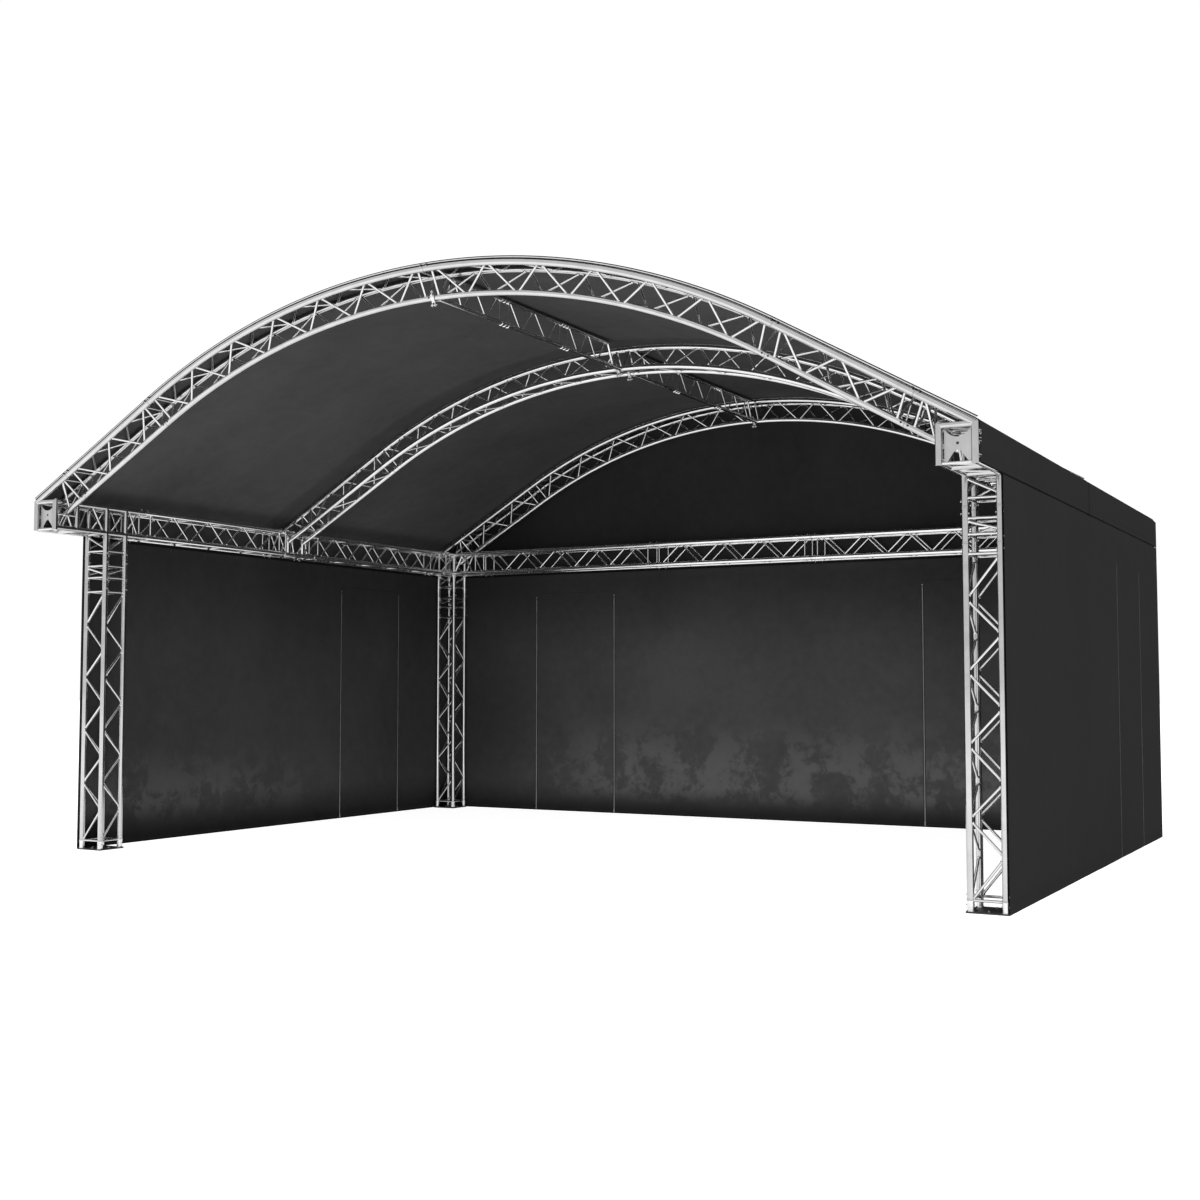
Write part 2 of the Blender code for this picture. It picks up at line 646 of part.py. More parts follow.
def door(name, d0, d1, at, out):
    """A flap with its origin on the hinge line; at(a, z) gives a point on the wall's inner face."""
    hinge = at((d0 + d1) / 2, DOOR_H) + out * (CLOTH / 2)
    width, top, bottom = d1 - d0 - 2 * DOOR_GAP, -0.0015, Z_HEM - DOOR_H
    size = Vector((CLOTH if abs(out.x) > 0.5 else width, CLOTH if abs(out.y) > 0.5 else width, top - bottom))
    work = bmesh.new()
    bmesh.ops.create_cube(
        work, size=1.0, matrix=Matrix.Translation((0, 0, (top + bottom) / 2)) @ Matrix.Diagonal((*size, 1.0)))
    put(name, mesh_from(work, name), CANVAS["door_cloth"], hinge)


def slider(name, a, at, out):
    """Zip slider on the inner face: a body over the zip line with its pull tab hanging."""
    def block(half, z0, z1, t0, t1):
        ends = [at(a - half, z0) - out * t0, at(a + half, z1) - out * t1]
        low = [min(ends[0][i], ends[1][i]) for i in range(3)]
        high = [max(ends[0][i], ends[1][i]) for i in range(3)]
        low[1] -= Y0
        high[1] -= Y0
        return box(low, high)
    body = joined(name, [block(0.012, 0.032, 0.066, 0.0015, 0.0085), block(0.005, 0.022, 0.060, 0.0075, 0.0105)])
    put(name, body, ALU["slider_alu"])


def side_at(side):
    return lambda a, z: P(side * X_WALL, a, z)


def back_at(a, z):
    return P(a, Y_WALL, z)


for tag, side, doors in (("left", -1, DOORS_LEFT), ("right", 1, DOORS_RIGHT)):
    flat_outline(f"wall_{tag}", wall_outline(-0.15, Y_END, [doors]), CLOTH,
                 P(side * (X_WALL + CLOTH / 2), 0, 0), Y, Z, CANVAS["wall_cloth"])
    door(f"door_{tag}", *doors, side_at(side), X * side)
    slider(f"zip_slider_{tag}_front", doors[0], side_at(side), X * side)
    slider(f"zip_slider_{tag}_back", doors[1], side_at(side), X * side)
flat_outline("wall_back", wall_outline(-X_WALL + 0.004, X_WALL - 0.004, DOORS_BACK), CLOTH,
             P(0, Y_WALL + CLOTH / 2, 0), X, Z, CANVAS["wall_cloth"])
for tag, doors in (("left", DOORS_BACK[0]), ("right", DOORS_BACK[1])):
    door(f"door_back_{tag}", *doors, back_at, Y)
    slider(f"zip_slider_back_{tag}_1", doors[0], back_at, Y)
    slider(f"zip_slider_back_{tag}_2", doors[1], back_at, Y)
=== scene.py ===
import math

import bmesh
import bpy
import numpy as np
from mathutils import Matrix, Vector, noise


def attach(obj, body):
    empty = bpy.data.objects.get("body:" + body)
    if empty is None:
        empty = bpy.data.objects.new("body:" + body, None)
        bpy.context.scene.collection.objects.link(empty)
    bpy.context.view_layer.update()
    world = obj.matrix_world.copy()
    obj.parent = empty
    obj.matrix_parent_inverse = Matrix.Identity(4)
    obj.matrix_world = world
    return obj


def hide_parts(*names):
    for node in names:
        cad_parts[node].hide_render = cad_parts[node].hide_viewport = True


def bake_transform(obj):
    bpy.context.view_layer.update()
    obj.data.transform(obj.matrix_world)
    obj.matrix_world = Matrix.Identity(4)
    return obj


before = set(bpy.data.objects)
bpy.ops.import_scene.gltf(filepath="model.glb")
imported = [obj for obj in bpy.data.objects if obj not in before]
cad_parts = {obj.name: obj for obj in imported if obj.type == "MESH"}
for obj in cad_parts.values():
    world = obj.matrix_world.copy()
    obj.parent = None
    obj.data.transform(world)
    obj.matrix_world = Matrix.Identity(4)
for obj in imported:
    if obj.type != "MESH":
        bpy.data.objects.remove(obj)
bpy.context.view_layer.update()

# ------------------------------------------------------------------ sizes, metres, as in the frame
Y0 = -2.662
TX, TY, S = 4.25, 5.827, 0.12
RC, RB, RA = 0.025, 0.0098, 0.0245
PLATE = 0.2990
Z_RING, Z_TOWER, Z_J1, Z_J2 = 0.087, 0.014, 2.514, 2.764
ZB, ZT, Z_RAIL = 2.999, 3.239, 3.145
Y_FRONT, Y_SECOND, Y_POST = -0.731, -0.491, -0.481
Y_B1, Y_B2, Y_B3, Y_B4 = 0.37, 2.42, 2.92, 5.45
X_B = (-3.75, -1.25, 0.75, 3.75)
R_ARCH, A_ARCH, ZC, DEPTH = 5.94, math.radians(30), -1.0969, 0.208
U1, U2, U_END = R_ARCH * A_ARCH, 4.268, 4.7267
PITCH_ARCH = 0.2434
X_LADDER, Z_LADDER, R_LADDER = 0.04, (4.627, 4.836), 0.019
V_CANOPY, X_WALL, Y_WALL, Y_END = 0.030, 4.400, 5.978, 6.080
Z_HEM, Z_SPLIT, DOOR_H = 0.004, 2.974, 2.680
DOORS_LEFT, DOORS_RIGHT = (3.768, 4.889), (3.868, 5.004)
DOORS_BACK = ((-3.049, -1.936), (1.948, 3.060))
Z_FLAP = 2.7195

X, Y, Z = (np.array(a, float) for a in ((1, 0, 0), (0, 1, 0), (0, 0, 1)))


def P(x, y, z):
    return np.array((x, y + Y0, z), float)


def unit(a):
    return a / np.linalg.norm(a)


# ------------------------------------------------------------------ camera
camera = bpy.data.objects.new("camera", bpy.data.cameras.new("camera"))
camera.data.lens = 45.692
camera.data.sensor_width = 36.0
camera.data.clip_end = 400.0
camera.location = (6.9979, -13.1258, 1.5149)
camera.rotation_euler = (math.radians(90 + 3.3495), 0.0, math.radians(29.0478))
bpy.context.scene.collection.objects.link(camera)
bpy.context.scene.camera = camera


# ------------------------------------------------------------------ materials
class Look:
    """A Principled material whose colour, roughness and bump come from its nodes."""

    def __init__(self, name, **uniform):
        self.mat = bpy.data.materials.new(name)
        self.mat.use_nodes = True
        self.tree = self.mat.node_tree
        self.tree.nodes.clear()
        self.bsdf = self.tree.nodes.new("ShaderNodeBsdfPrincipled")
        out = self.tree.nodes.new("ShaderNodeOutputMaterial")
        self.tree.links.new(self.bsdf.outputs[0], out.inputs[0])
        for key, value in uniform.items():
            self.bsdf.inputs[key.replace("_", " ")].default_value = value
        self.coords = self.tree.nodes.new("ShaderNodeTexCoord")

    def node(self, kind, inputs=(), **props):
        made = self.tree.nodes.new(kind)
        for key, value in props.items():
            setattr(made, key, value)
        for key, value in dict(inputs).items():
            if isinstance(value, bpy.types.NodeSocket):
                self.tree.links.new(value, made.inputs[key])
            else:
                made.inputs[key].default_value = value
        return made

    def at(self, source, scale):
        return self.node("ShaderNodeMapping", {"Vector": self.coords.outputs[source], "Scale": scale}).outputs[0]

    def cloud(self, vector, scale, detail=4.0, rough=0.55, twist=0.0):
        return self.node("ShaderNodeTexNoise", {
            "Vector": vector, "Scale": scale, "Detail": detail, "Roughness": rough, "Distortion": twist}).outputs[0]

    def fit(self, value, a, b, c=0.0, d=1.0, smooth=False):
        return self.node("ShaderNodeMapRange", {0: value, 1: a, 2: b, 3: c, 4: d},
                         interpolation_type="SMOOTHSTEP" if smooth else "LINEAR").outputs[0]

    def math(self, what, a, b=0.0):
        return self.node("ShaderNodeMath", {0: a, 1: b}, operation=what, use_clamp=False).outputs[0]

    def mix(self, factor, a, b):
        made = self.node("ShaderNodeMix", data_type="RGBA")
        for index, value in ((0, factor), (6, a), (7, b)):
            if isinstance(value, bpy.types.NodeSocket):
                self.tree.links.new(value, made.inputs[index])
            else:
                made.inputs[index].default_value = value
        return made.outputs[2]

    def bump(self, height, distance, strength=1.0, under=None):
        inputs = {"Height": height, "Distance": distance, "Strength": strength}
        if under is not None:
            inputs["Normal"] = under
        return self.node("ShaderNodeBump", inputs).outputs[0]

    def drive(self, **sockets):
        for key, value in sockets.items():
            self.tree.links.new(value, self.bsdf.inputs[key.replace("_", " ")])
        return self.mat


def grey(v, a=1.0):
    return (v, v, v * 1.004, a)


def metal_look(name, dark, light, rough, streak=0.12):
    """Drawn aluminium: lines along the tube, soft handling marks, a few darker smudges."""
    look = Look(name, Metallic=1.0)
    lines = look.cloud(look.at("UV", (420.0, 2.2, 1.0)), 1.0, 3.0, 0.6)
    marks = look.cloud(look.at("Object", (1.0, 1.0, 1.0)), 7.0, 5.0, 0.6, 0.4)
    specks = look.cloud(look.at("Object", (1.0, 1.0, 1.0)), 60.0, 3.0, 0.7)
    tone = look.math("ADD", look.math("MULTIPLY", lines, streak * 2), look.math("MULTIPLY", marks, 1.0 - streak * 2))
    colour = look.mix(look.fit(tone, 0.32, 0.62), grey(dark), grey(light))
    worn = look.fit(specks, 0.66, 0.74)
    colour = look.mix(look.math("MULTIPLY", worn, 0.22), colour, grey(dark * 0.6))
    roughness = look.fit(look.math("ADD", look.math("MULTIPLY", marks, 0.6), look.math("MULTIPLY", lines, 0.4)),
                         0.3, 0.7, rough[0], rough[1])
    height = look.math("ADD", look.math("MULTIPLY", lines, 0.6), look.math("MULTIPLY", specks, 0.25))
    return look.drive(Base_Color=colour, Roughness=roughness, Normal=look.bump(height, 0.0002, 0.10))


def cloth_look(name, base, shade=(), dust=None, rough=(0.62, 0.82), tone=0.25, spec=0.25, painted_shadow_bands=()):
    """Coated black canvas: a fine plain weave under the coating, faint mottling, and dust where given.
    dust: (amount, [(mask along an axis: index, a, b, c, d)]) with the mask rising a to b and falling c to d.
    shade: (axis, a, b, value) runs of painted shade that darken the colour from value at a to full at b.
    bands: (axis, centre, half, soft, value, ranges) strips of painted shadow, over ranges of the Y axis."""
    look = Look(name, Metallic=0.0)
    look.bsdf.inputs["Specular IOR Level"].default_value = spec
    uv = look.at("UV", (1.0, 1.0, 1.0))
    warp = look.node("ShaderNodeTexWave", {"Vector": uv, "Scale": 230.0, "Distortion": 0.6, "Detail": 1.0},
                     bands_direction="X", wave_profile="SIN").outputs[1]
    weft = look.node("ShaderNodeTexWave", {"Vector": uv, "Scale": 230.0, "Distortion": 0.6, "Detail": 1.0},
                     bands_direction="Y", wave_profile="SIN").outputs[1]
    weave = look.math("MULTIPLY", warp, weft)
    spot = look.at("Object", (1.0, 1.0, 1.0))
    broad = look.cloud(spot, 0.55, 5.0, 0.55, 0.2)
    fine = look.cloud(spot, 9.0, 6.0, 0.62)
    hand = look.cloud(spot, 2.3, 6.0, 0.6, 0.8)
    blend = look.math("ADD", look.math("MULTIPLY", broad, 0.7), look.math("MULTIPLY", fine, 0.3))
    colour = look.mix(look.fit(blend, 0.34, 0.66), grey(base * (1.0 - tone)), grey(base * (1.0 + tone)))
    roughness = look.fit(hand, 0.3, 0.7, rough[0], rough[1])
    # painted shade: each run darkens the colour towards one end of an axis
    for axis, a, b, value in shade:
        run = look.fit(look.node("ShaderNodeSeparateXYZ", {0: spot}).outputs[axis], a, b, value, 1.0, smooth=True)
        colour = look.mix(run, grey(0.0), colour)
    # painted shadow: each band darkens the colour in a strip along one axis, over the given Y ranges
    for axis, centre, half, soft, value, ranges in painted_shadow_bands:
        split = look.node("ShaderNodeSeparateXYZ", {0: spot})
        away = look.math("ABSOLUTE", look.math("SUBTRACT", split.outputs[axis], centre))
        shadow_strip = look.fit(away, half, half + soft, 1.0, 0.0, smooth=True)
        if ranges:
            along = None
            for a, b in ranges:
                part = look.math("MULTIPLY", look.fit(split.outputs[1], a - 0.03, a + 0.03, smooth=True),
                                 look.fit(split.outputs[1], b - 0.03, b + 0.03, 1.0, 0.0, smooth=True))
                along = part if along is None else look.math("ADD", along, part)
            shadow_strip = look.math("MULTIPLY", shadow_strip, along)
        colour = look.mix(look.math("MULTIPLY", shadow_strip, 1.0 - value), colour, grey(0.0))
    if dust:
        amount, tint, masks = dust
        place = None
        split = look.node("ShaderNodeSeparateXYZ", {0: spot})
        for index, a, b, c, d in masks:
            m = look.math("MULTIPLY", look.fit(split.outputs[index], a, b, smooth=True),
                          look.fit(split.outputs[index], c, d, 1.0, 0.0, smooth=True))
            place = m if place is None else look.math("MULTIPLY", place, m)
        big = look.cloud(spot, 2.5, 8.0, 0.64, 0.35)
        small = look.cloud(spot, 8.0, 7.0, 0.70, 0.6)
        puffs = look.math("ADD", look.math("MULTIPLY", big, 0.68), look.math("MULTIPLY", small, 0.32))
        puffs = look.math("ADD", look.math("MULTIPLY", look.fit(puffs, 0.465, 0.545, smooth=True), 0.62),
                          look.math("MULTIPLY", look.fit(puffs, 0.36, 0.66, smooth=True), 0.38))
        dirt = look.math("MULTIPLY", look.math("MULTIPLY", puffs, place), amount)
        colour = look.mix(dirt, colour, grey(tint))
        roughness = look.math("ADD", roughness, look.math("MULTIPLY", dirt, 0.15))
    height = look.math("ADD", look.math("MULTIPLY", weave, 0.5), look.math("MULTIPLY", hand, 0.5))
    creases = look.bump(look.cloud(spot, 1.7, 3.0, 0.5, 0.6), 0.02, 0.12)
    return look.drive(Base_Color=colour, Roughness=roughness, Normal=look.bump(height, 0.00035, 0.4, creases))


# These are copies of one drawn aluminium whose base tones differ from part to part as painted light: the front truss
# and front arch copies are made darker, the beam and beam-brace copies brighter, to stand in for how much light their
# tubes reflect.
ALU = metal_look("truss_aluminium_drawn", 0.53, 0.62, (0.08, 0.15))
ALU_FRONT_PAINTED_DARKER = metal_look("front_truss_aluminium_painted_darker", 0.42, 0.50, (0.08, 0.15))
ALU_IN_PAINTED_BRIGHTER = metal_look("beam_aluminium_painted_brighter", 0.74, 0.84, (0.07, 0.13))
ALU_ARCH = metal_look("arch_aluminium_drawn", 0.60, 0.70, (0.08, 0.15))
ALU_ARCH_FRONT_PAINTED_DARKER = metal_look("front_arch_aluminium_painted_darker", 0.45, 0.53, (0.08, 0.15))
BRACE = metal_look("brace_aluminium", 0.54, 0.64, (0.08, 0.17), 0.2)
BRACE_IN_PAINTED_BRIGHTER = metal_look("beam_brace_aluminium_painted_brighter", 0.70, 0.80, (0.07, 0.15), 0.2)
CAST = metal_look("coupler_aluminium_cast", 0.62, 0.80, (0.20, 0.36), 0.02)
RAILS = metal_look("rail_aluminium_extruded", 0.60, 0.70, (0.16, 0.28), 0.2)
SHEET_ALU = metal_look("plate_aluminium_milled", 0.40, 0.50, (0.40, 0.55), 0.2)
ZINC = metal_look("pin_steel_zinc", 0.46, 0.62, (0.18, 0.34), 0.05)
LADDER = metal_look("ladder_aluminium", 0.60, 0.70, (0.07, 0.15), 0.15)
ZIP_METAL = metal_look("zip_metal_nickel", 0.30, 0.44, (0.25, 0.40), 0.05)


def plate_black():
    look = Look("plate_powder_black", Metallic=0.0)
    look.bsdf.inputs["Specular IOR Level"].default_value = 0.4
    spot = look.at("Object", (1.0, 1.0, 1.0))
    peel = look.cloud(spot, 420.0, 2.0, 0.5)
    scuff = look.cloud(look.at("Object", (1.0, 0.25, 1.0)), 34.0, 6.0, 0.7, 1.5)
    colour = look.mix(look.fit(scuff, 0.60, 0.72), grey(0.016), grey(0.10))
    rough = look.fit(scuff, 0.45, 0.7, 0.42, 0.7)
    return look.drive(Base_Color=colour, Roughness=rough, Normal=look.bump(peel, 0.0004, 0.4))


PLATE_BLACK = plate_black()
# This black stands as painted shade in the arch chords' pin holes.
PIN_HOLE_SHADE = plate_black()
PIN_HOLE_SHADE.name = "pin_hole_painted_shade"
# This black stands as painted shade behind the end plate's hole.
END_PLATE_SHADE_PLUG = plate_black()
END_PLATE_SHADE_PLUG.name = "end_plate_hole_painted_shade"

DUST_SIDE = (0.62, 0.078, [(2, 0.14, 0.42, 0.42, 1.05), (1, -3.6, -2.7, -0.9, 1.8)])
DUST_BACK = (0.84, 0.116, [(2, 0.12, 0.38, 0.55, 1.30), (0, -3.6, -1.5, 3.4, 4.3)])
# The shade runs here and in the gable's and inner walls' looks below are painted shade: darker at the walls' foot,
# towards the roof, at the back wall's left end and over the gable's left part.
FOOT_SHADE = (2, -0.05, 0.42, 0.12)
# The canopy's inner bands are painted shadows: strips beside the middle and back arches, and a contact shadow along the
# ridge ladders' upper chords.
RIDGE_SHADOW_SPANS = ((-0.42 + Y0, 2.29 + Y0), (2.85 + Y0, 5.72 + Y0))
CANOPY_IN = cloth_look("canopy_canvas_inside", 0.042, spec=0.2, painted_shadow_bands=[
    (1, 2.455 + Y0, 0.135, 0.05, 0.82, ()), (1, 5.82 + Y0, 0.17, 0.05, 0.5, ()), (0, 0.012, 0.028, 0.03, 0.12, RIDGE_SHADOW_SPANS)])
CANOPY_OUT = cloth_look("canopy_canvas_outside", 0.0218, spec=0.0, tone=0.06)
# The gable and inner walls are one canvas; their base tones differ from face to face as painted light, brighter or
# darker for how much light reaches each.
GABLE_IN = cloth_look("gable_canvas_inside", 0.0235, spec=0.12, shade=[(0, -4.2, -1.2, 0.55)])
WALL_OUT = cloth_look("wall_canvas_outside", 0.0218, spec=0.0, tone=0.06)
WALL_LEFT_IN = cloth_look("wall_left_canvas_inside", 0.034, dust=DUST_SIDE, spec=0.15, shade=[(2, 0.0, 0.50, 0.08), (2, 3.1, 1.7, 0.55)])
WALL_RIGHT_IN = cloth_look("wall_right_canvas_inside", 0.030, dust=DUST_SIDE, spec=0.15, shade=[FOOT_SHADE, (2, 3.1, 1.7, 0.6)])
WALL_BACK_IN = cloth_look("wall_back_canvas_inside", 0.055, dust=DUST_BACK, spec=0.15,
                          shade=[FOOT_SHADE, (2, 3.05, 1.75, 0.42), (0, -4.5, -1.9, 0.50)])
# A near-black strip for the canopy's edges: painted shadow along the hem and the lap's end.
HEM_EDGE_SHADOW = cloth_look("hem_edge_painted_shadow", 0.0085, spec=0.0, rough=(0.75, 0.9))
CORD = cloth_look("keder_cord_rubber", 0.0045, spec=0.06, rough=(0.5, 0.7), tone=0.1)
TAPE = cloth_look("zip_tape_woven", 0.0205, spec=0.02, rough=(0.75, 0.9))
STRAP = cloth_look("strap_webbing", 0.022, spec=0.2, rough=(0.6, 0.8))


# ------------------------------------------------------------------ shapes
def guarded(points, radius):
    """Adds a ring close to each end of a long straight run, so that its shading stays that of a true cylinder."""
    out, widths = [points[0]], [radius[0]]
    for k in range(len(points) - 1):
        step = points[k + 1] - points[k]
        length = np.linalg.norm(step)
        if length > 0.024 and abs(radius[k + 1] - radius[k]) < 1e-6:
            for near, other in ((k, k - 1), (k + 1, k + 2)):
                if 0 <= other < len(points) and abs(radius[other] - radius[near]) > 1e-6:
                    t = 0.0015 / length if near == k else 1.0 - 0.0015 / length
                    out.append(points[k] + step * t)
                    widths.append(radius[k])
        out.append(points[k + 1])
        widths.append(radius[k + 1])
    return np.array(out), np.array(widths)


class Shape:
    """Gathers closed shells, with UVs in metres, into one mesh."""

    def __init__(self):
        self.points, self.faces, self.uvs, self.slots = [], [], [], []
        self.n = 0

    def add(self, points, faces, uvs, slot=0):
        """Adds one closed shell, with its faces turned outwards."""
        points = np.asarray(points, float).reshape(-1, 3)
        centred = points - points.mean(0)
        fans = np.array([(f[0], f[k], f[k + 1]) for f in faces for k in range(1, len(f) - 1)])
        a, b, c = (centred[fans[:, k]] for k in range(3))
        if np.einsum("ij,ij->", a, np.cross(b, c)) < 0:
            faces = [f[::-1] for f in faces]
            uvs = [u[::-1] for u in uvs]
        self.points.append(points)
        self.faces.extend([[i + self.n for i in f] for f in faces])
        self.uvs.extend(uvs)
        self.slots.extend([slot] * len(faces) if isinstance(slot, int) else slot)
        self.n += len(points)

    def rings(self, rings, around, along, slot=0, closed=False, caps=True):
        """rings: n loops of m points, counter-clockwise seen from the far end."""
        n, m = rings.shape[:2]
        faces, uvs = [], []
        last = n if closed else n - 1
        for i in range(last):
            j = (i + 1) % n
            v0, v1 = along[i], along[i + 1] if closed else along[j]
            for k in range(m):
                l = (k + 1) % m
                faces.append((i * m + k, i * m + l, j * m + l, j * m + k))
                uvs.append(((around[k], v0), (around[k + 1], v0), (around[k + 1], v1), (around[k], v1)))
        if caps and not closed:
            flat = [(0.01 * math.cos(6.2832 * k / m), 0.01 * math.sin(6.2832 * k / m)) for k in range(m)]
            faces.append(tuple(range(m - 1, -1, -1)))
            uvs.append(tuple(reversed(flat)))
            faces.append(tuple((n - 1) * m + k for k in range(m)))
            uvs.append(tuple(flat))
        self.add(rings.reshape(-1, 3), faces, uvs, slot)

    def tube(self, points, radius, sides=16, slot=0, ref=None, closed=False, caps=True):
        pts = np.asarray(points, float)
        radius = np.broadcast_to(np.asarray(radius, float), (len(pts),))
        if not closed:
            pts, radius = guarded(pts, radius)
        n = len(pts)
        if closed:
            tangent = np.roll(pts, -1, 0) - np.roll(pts, 1, 0)
        else:
            tangent = np.gradient(pts, axis=0)
        tangent /= np.linalg.norm(tangent, axis=1)[:, None]
        if ref is None:
            ref = X if abs(tangent[0] @ X) < 0.6 else Y
        e1 = unit(ref - tangent[0] * (ref @ tangent[0]))
        angle = np.arange(sides) * 2 * math.pi / sides
        cos, sin = np.cos(angle)[:, None], np.sin(angle)[:, None]
        rings = np.empty((n, sides, 3))
        for i in range(n):
            e1 = unit(e1 - tangent[i] * (e1 @ tangent[i]))
            e2 = np.cross(tangent[i], e1)
            rings[i] = pts[i] + radius[i] * (cos * e1 + sin * e2)
        lengths = np.concatenate([[0.0], np.cumsum(np.linalg.norm(np.diff(pts, axis=0), axis=1))])
        if closed:
            lengths = np.append(lengths, lengths[-1] + np.linalg.norm(pts[0] - pts[-1]))
        around = np.arange(sides + 1) * 2 * math.pi / sides * float(radius.max())
        self.rings(rings, around, lengths + 0.37 * (self.n % 97), slot, closed, caps)

    def profile(self, outline, path, across, up, slot=0):
        """Sweeps a 2D outline along a path; across and up give its axes at each point."""
        outline = np.asarray(outline, float)
        rings = np.array([p + outline[:, :1] * a + outline[:, 1:] * b for p, a, b in zip(path, across, up)])
        steps = np.linalg.norm(np.diff(np.vstack([outline, outline[:1]]), axis=0), axis=1)
        around = np.concatenate([[0.0], np.cumsum(steps)])
        lengths = np.concatenate([[0.0], np.cumsum(np.linalg.norm(np.diff(np.asarray(path), axis=0), axis=1))])
        self.rings(rings, around, lengths, slot)

    def take(self, work, slot=0, matrix=None):
        """Adds a bmesh, with box-projected UVs."""
        if matrix is not None:
            bmesh.ops.transform(work, matrix=matrix, verts=work.verts)
        work.normal_update()
        work.verts.index_update()
        points = [v.co[:] for v in work.verts]
        faces, uvs = [], []
        for face in work.faces:
            faces.append([v.index for v in face.verts])
            axis = max(range(3), key=lambda i: abs(face.normal[i]))
            i, j = [k for k in range(3) if k != axis]
            uvs.append([(v.co[i], v.co[j]) for v in face.verts])
        work.free()
        self.add(points, faces, uvs, slot)

    def block(self, centre, size, bevel=0.002, slot=0, axes=None, segments=2):
        work = bmesh.new()
        bmesh.ops.create_cube(work, size=1.0, matrix=Matrix.Diagonal((*size, 1.0)))
        if bevel:
            bmesh.ops.bevel(work, geom=work.edges[:] + work.verts[:], offset=bevel, segments=segments,
                            profile=0.5, affect="EDGES")
        turn = Matrix.Identity(4)
        if axes is not None:
            turn = Matrix([[float(axes[c][r]) for c in range(3)] for r in range(3)]).to_4x4()
        self.take(work, slot, Matrix.Translation([float(c) for c in centre]) @ turn)

    def ring_of(self, centre, axis, radius, wire, sides=24, slot=0, small=8):
        """A torus."""
        axis = unit(np.asarray(axis, float))
        a = unit(np.cross(axis, X if abs(axis @ X) < 0.7 else Y))
        b = np.cross(axis, a)
        t = np.arange(sides) * 2 * math.pi / sides
        self.tube([centre + radius * (math.cos(q) * a + math.sin(q) * b) for q in t], wire, small, slot,
                  ref=axis, closed=True)

    def object(self, name, looks, smooth=38.0):
        mesh = bpy.data.meshes.new(name)
        mesh.from_pydata(np.vstack(self.points).tolist(), [], self.faces)
        for look in looks:
            mesh.materials.append(look)
        mesh.polygons.foreach_set("material_index", np.array(self.slots, np.int32))
        layer = mesh.uv_layers.new(name="metres")
        flat = np.array([c for face in self.uvs for uv in face for c in uv], np.float32)
        layer.data.foreach_set("uv", flat)
        mesh.update()
        mesh.shade_smooth()
        mesh.set_sharp_from_angle(angle=math.radians(smooth))
        made = bpy.data.objects.new(name, mesh)
        bpy.context.scene.collection.objects.link(made)
        return made


def place(shape, name, looks, nodes=(), body="frame", slot="truss_aluminium", smooth=38.0):
    made = shape.object(name, looks, smooth)
    if body:
        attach(made, body)
    if nodes:
        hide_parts(*([nodes] if isinstance(nodes, str) else nodes))
    return made


# ------------------------------------------------------------------ truss members
TRUSS = (ALU, BRACE, CAST, ZINC, PIN_HOLE_SHADE)
TRUSS_FRONT_PAINTED_DARKER = (ALU_FRONT_PAINTED_DARKER, BRACE, CAST, ZINC, PIN_HOLE_SHADE)
TRUSS_IN_PAINTED_BRIGHTER = (ALU_IN_PAINTED_BRIGHTER, BRACE_IN_PAINTED_BRIGHTER, CAST, ZINC, PIN_HOLE_SHADE)


def line(x, y, z, axis):
    def at(s):
        return P(s if axis == 0 else x, s if axis == 1 else y, s if axis == 2 else z)
    return at


def chord(shape, at, s0, s1, r=RC, start=True, end=True, sides=24):
    """A straight chord with a coupler half at each joint: a machined ring, a sleeve and a weld bead."""
    marks = [(s0, r * (1.0 if not start else 0.96))]
    if start:
        marks += [(s0 + 0.0015, r * 1.10), (s0 + 0.0085, r * 1.10), (s0 + 0.0100, r)]
    if end:
        marks += [(s1 - 0.0100, r), (s1 - 0.0085, r * 1.10), (s1 - 0.0015, r * 1.10)]
    marks.append((s1, r * (1.0 if not end else 0.96)))
    shape.tube([at(s) for s, _ in marks], [q for _, q in marks], sides, 0)


def brace(shape, p, q, along, rp=RC, rq=RC, r=RB, sides=10, slot=1, bead=True):
    """A brace between two chord axes, with a weld bead where it meets each chord."""
    d = q - p
    length = np.linalg.norm(d)
    d = d / length
    slant = math.sqrt(max(0.15, 1.0 - float(d @ along) ** 2))
    s0, s1 = rp / slant, length - rq / slant
    if not bead:
        shape.tube([p + d * (s0 - 0.008), p + d * (s1 + 0.008)], r, sides, slot)
        return
    marks = [(s0 - 0.010, r), (s0 - 0.003, r * 1.42), (s0 + 0.0015, r * 1.30), (s0 + 0.005, r),
             (s1 - 0.005, r), (s1 - 0.0015, r * 1.30), (s1 + 0.003, r * 1.42), (s1 + 0.010, r)]
    shape.tube([p + d * s for s, _ in marks], [w for _, w in marks], sides, slot)


def zigzag(shape, c0, c1, nodes, first, gap=0.0, r0=RC, r1=RC, r=RB):
    for k in range(len(nodes) - 1):
        a, b = nodes[k] + gap, nodes[k + 1] - gap
        low, high = (c0, c1) if (k + first) % 2 == 0 else (c1, c0)
        ra, rb = (r0, r1) if (k + first) % 2 == 0 else (r1, r0)
        along = unit(low(a + 0.01) - low(a - 0.01))
        brace(shape, low(a), high(b), along, ra, rb, r)


def cross(shape, c0, c1, s, r0=RC, r1=RC, r=RB):
    along = unit(c0(s + 0.01) - c0(s - 0.01))
    brace(shape, c0(s), c1(s), along, r0, r1, r)


def steps(start, pitch, count):
    return [start + pitch * k for k in range(count + 1)]


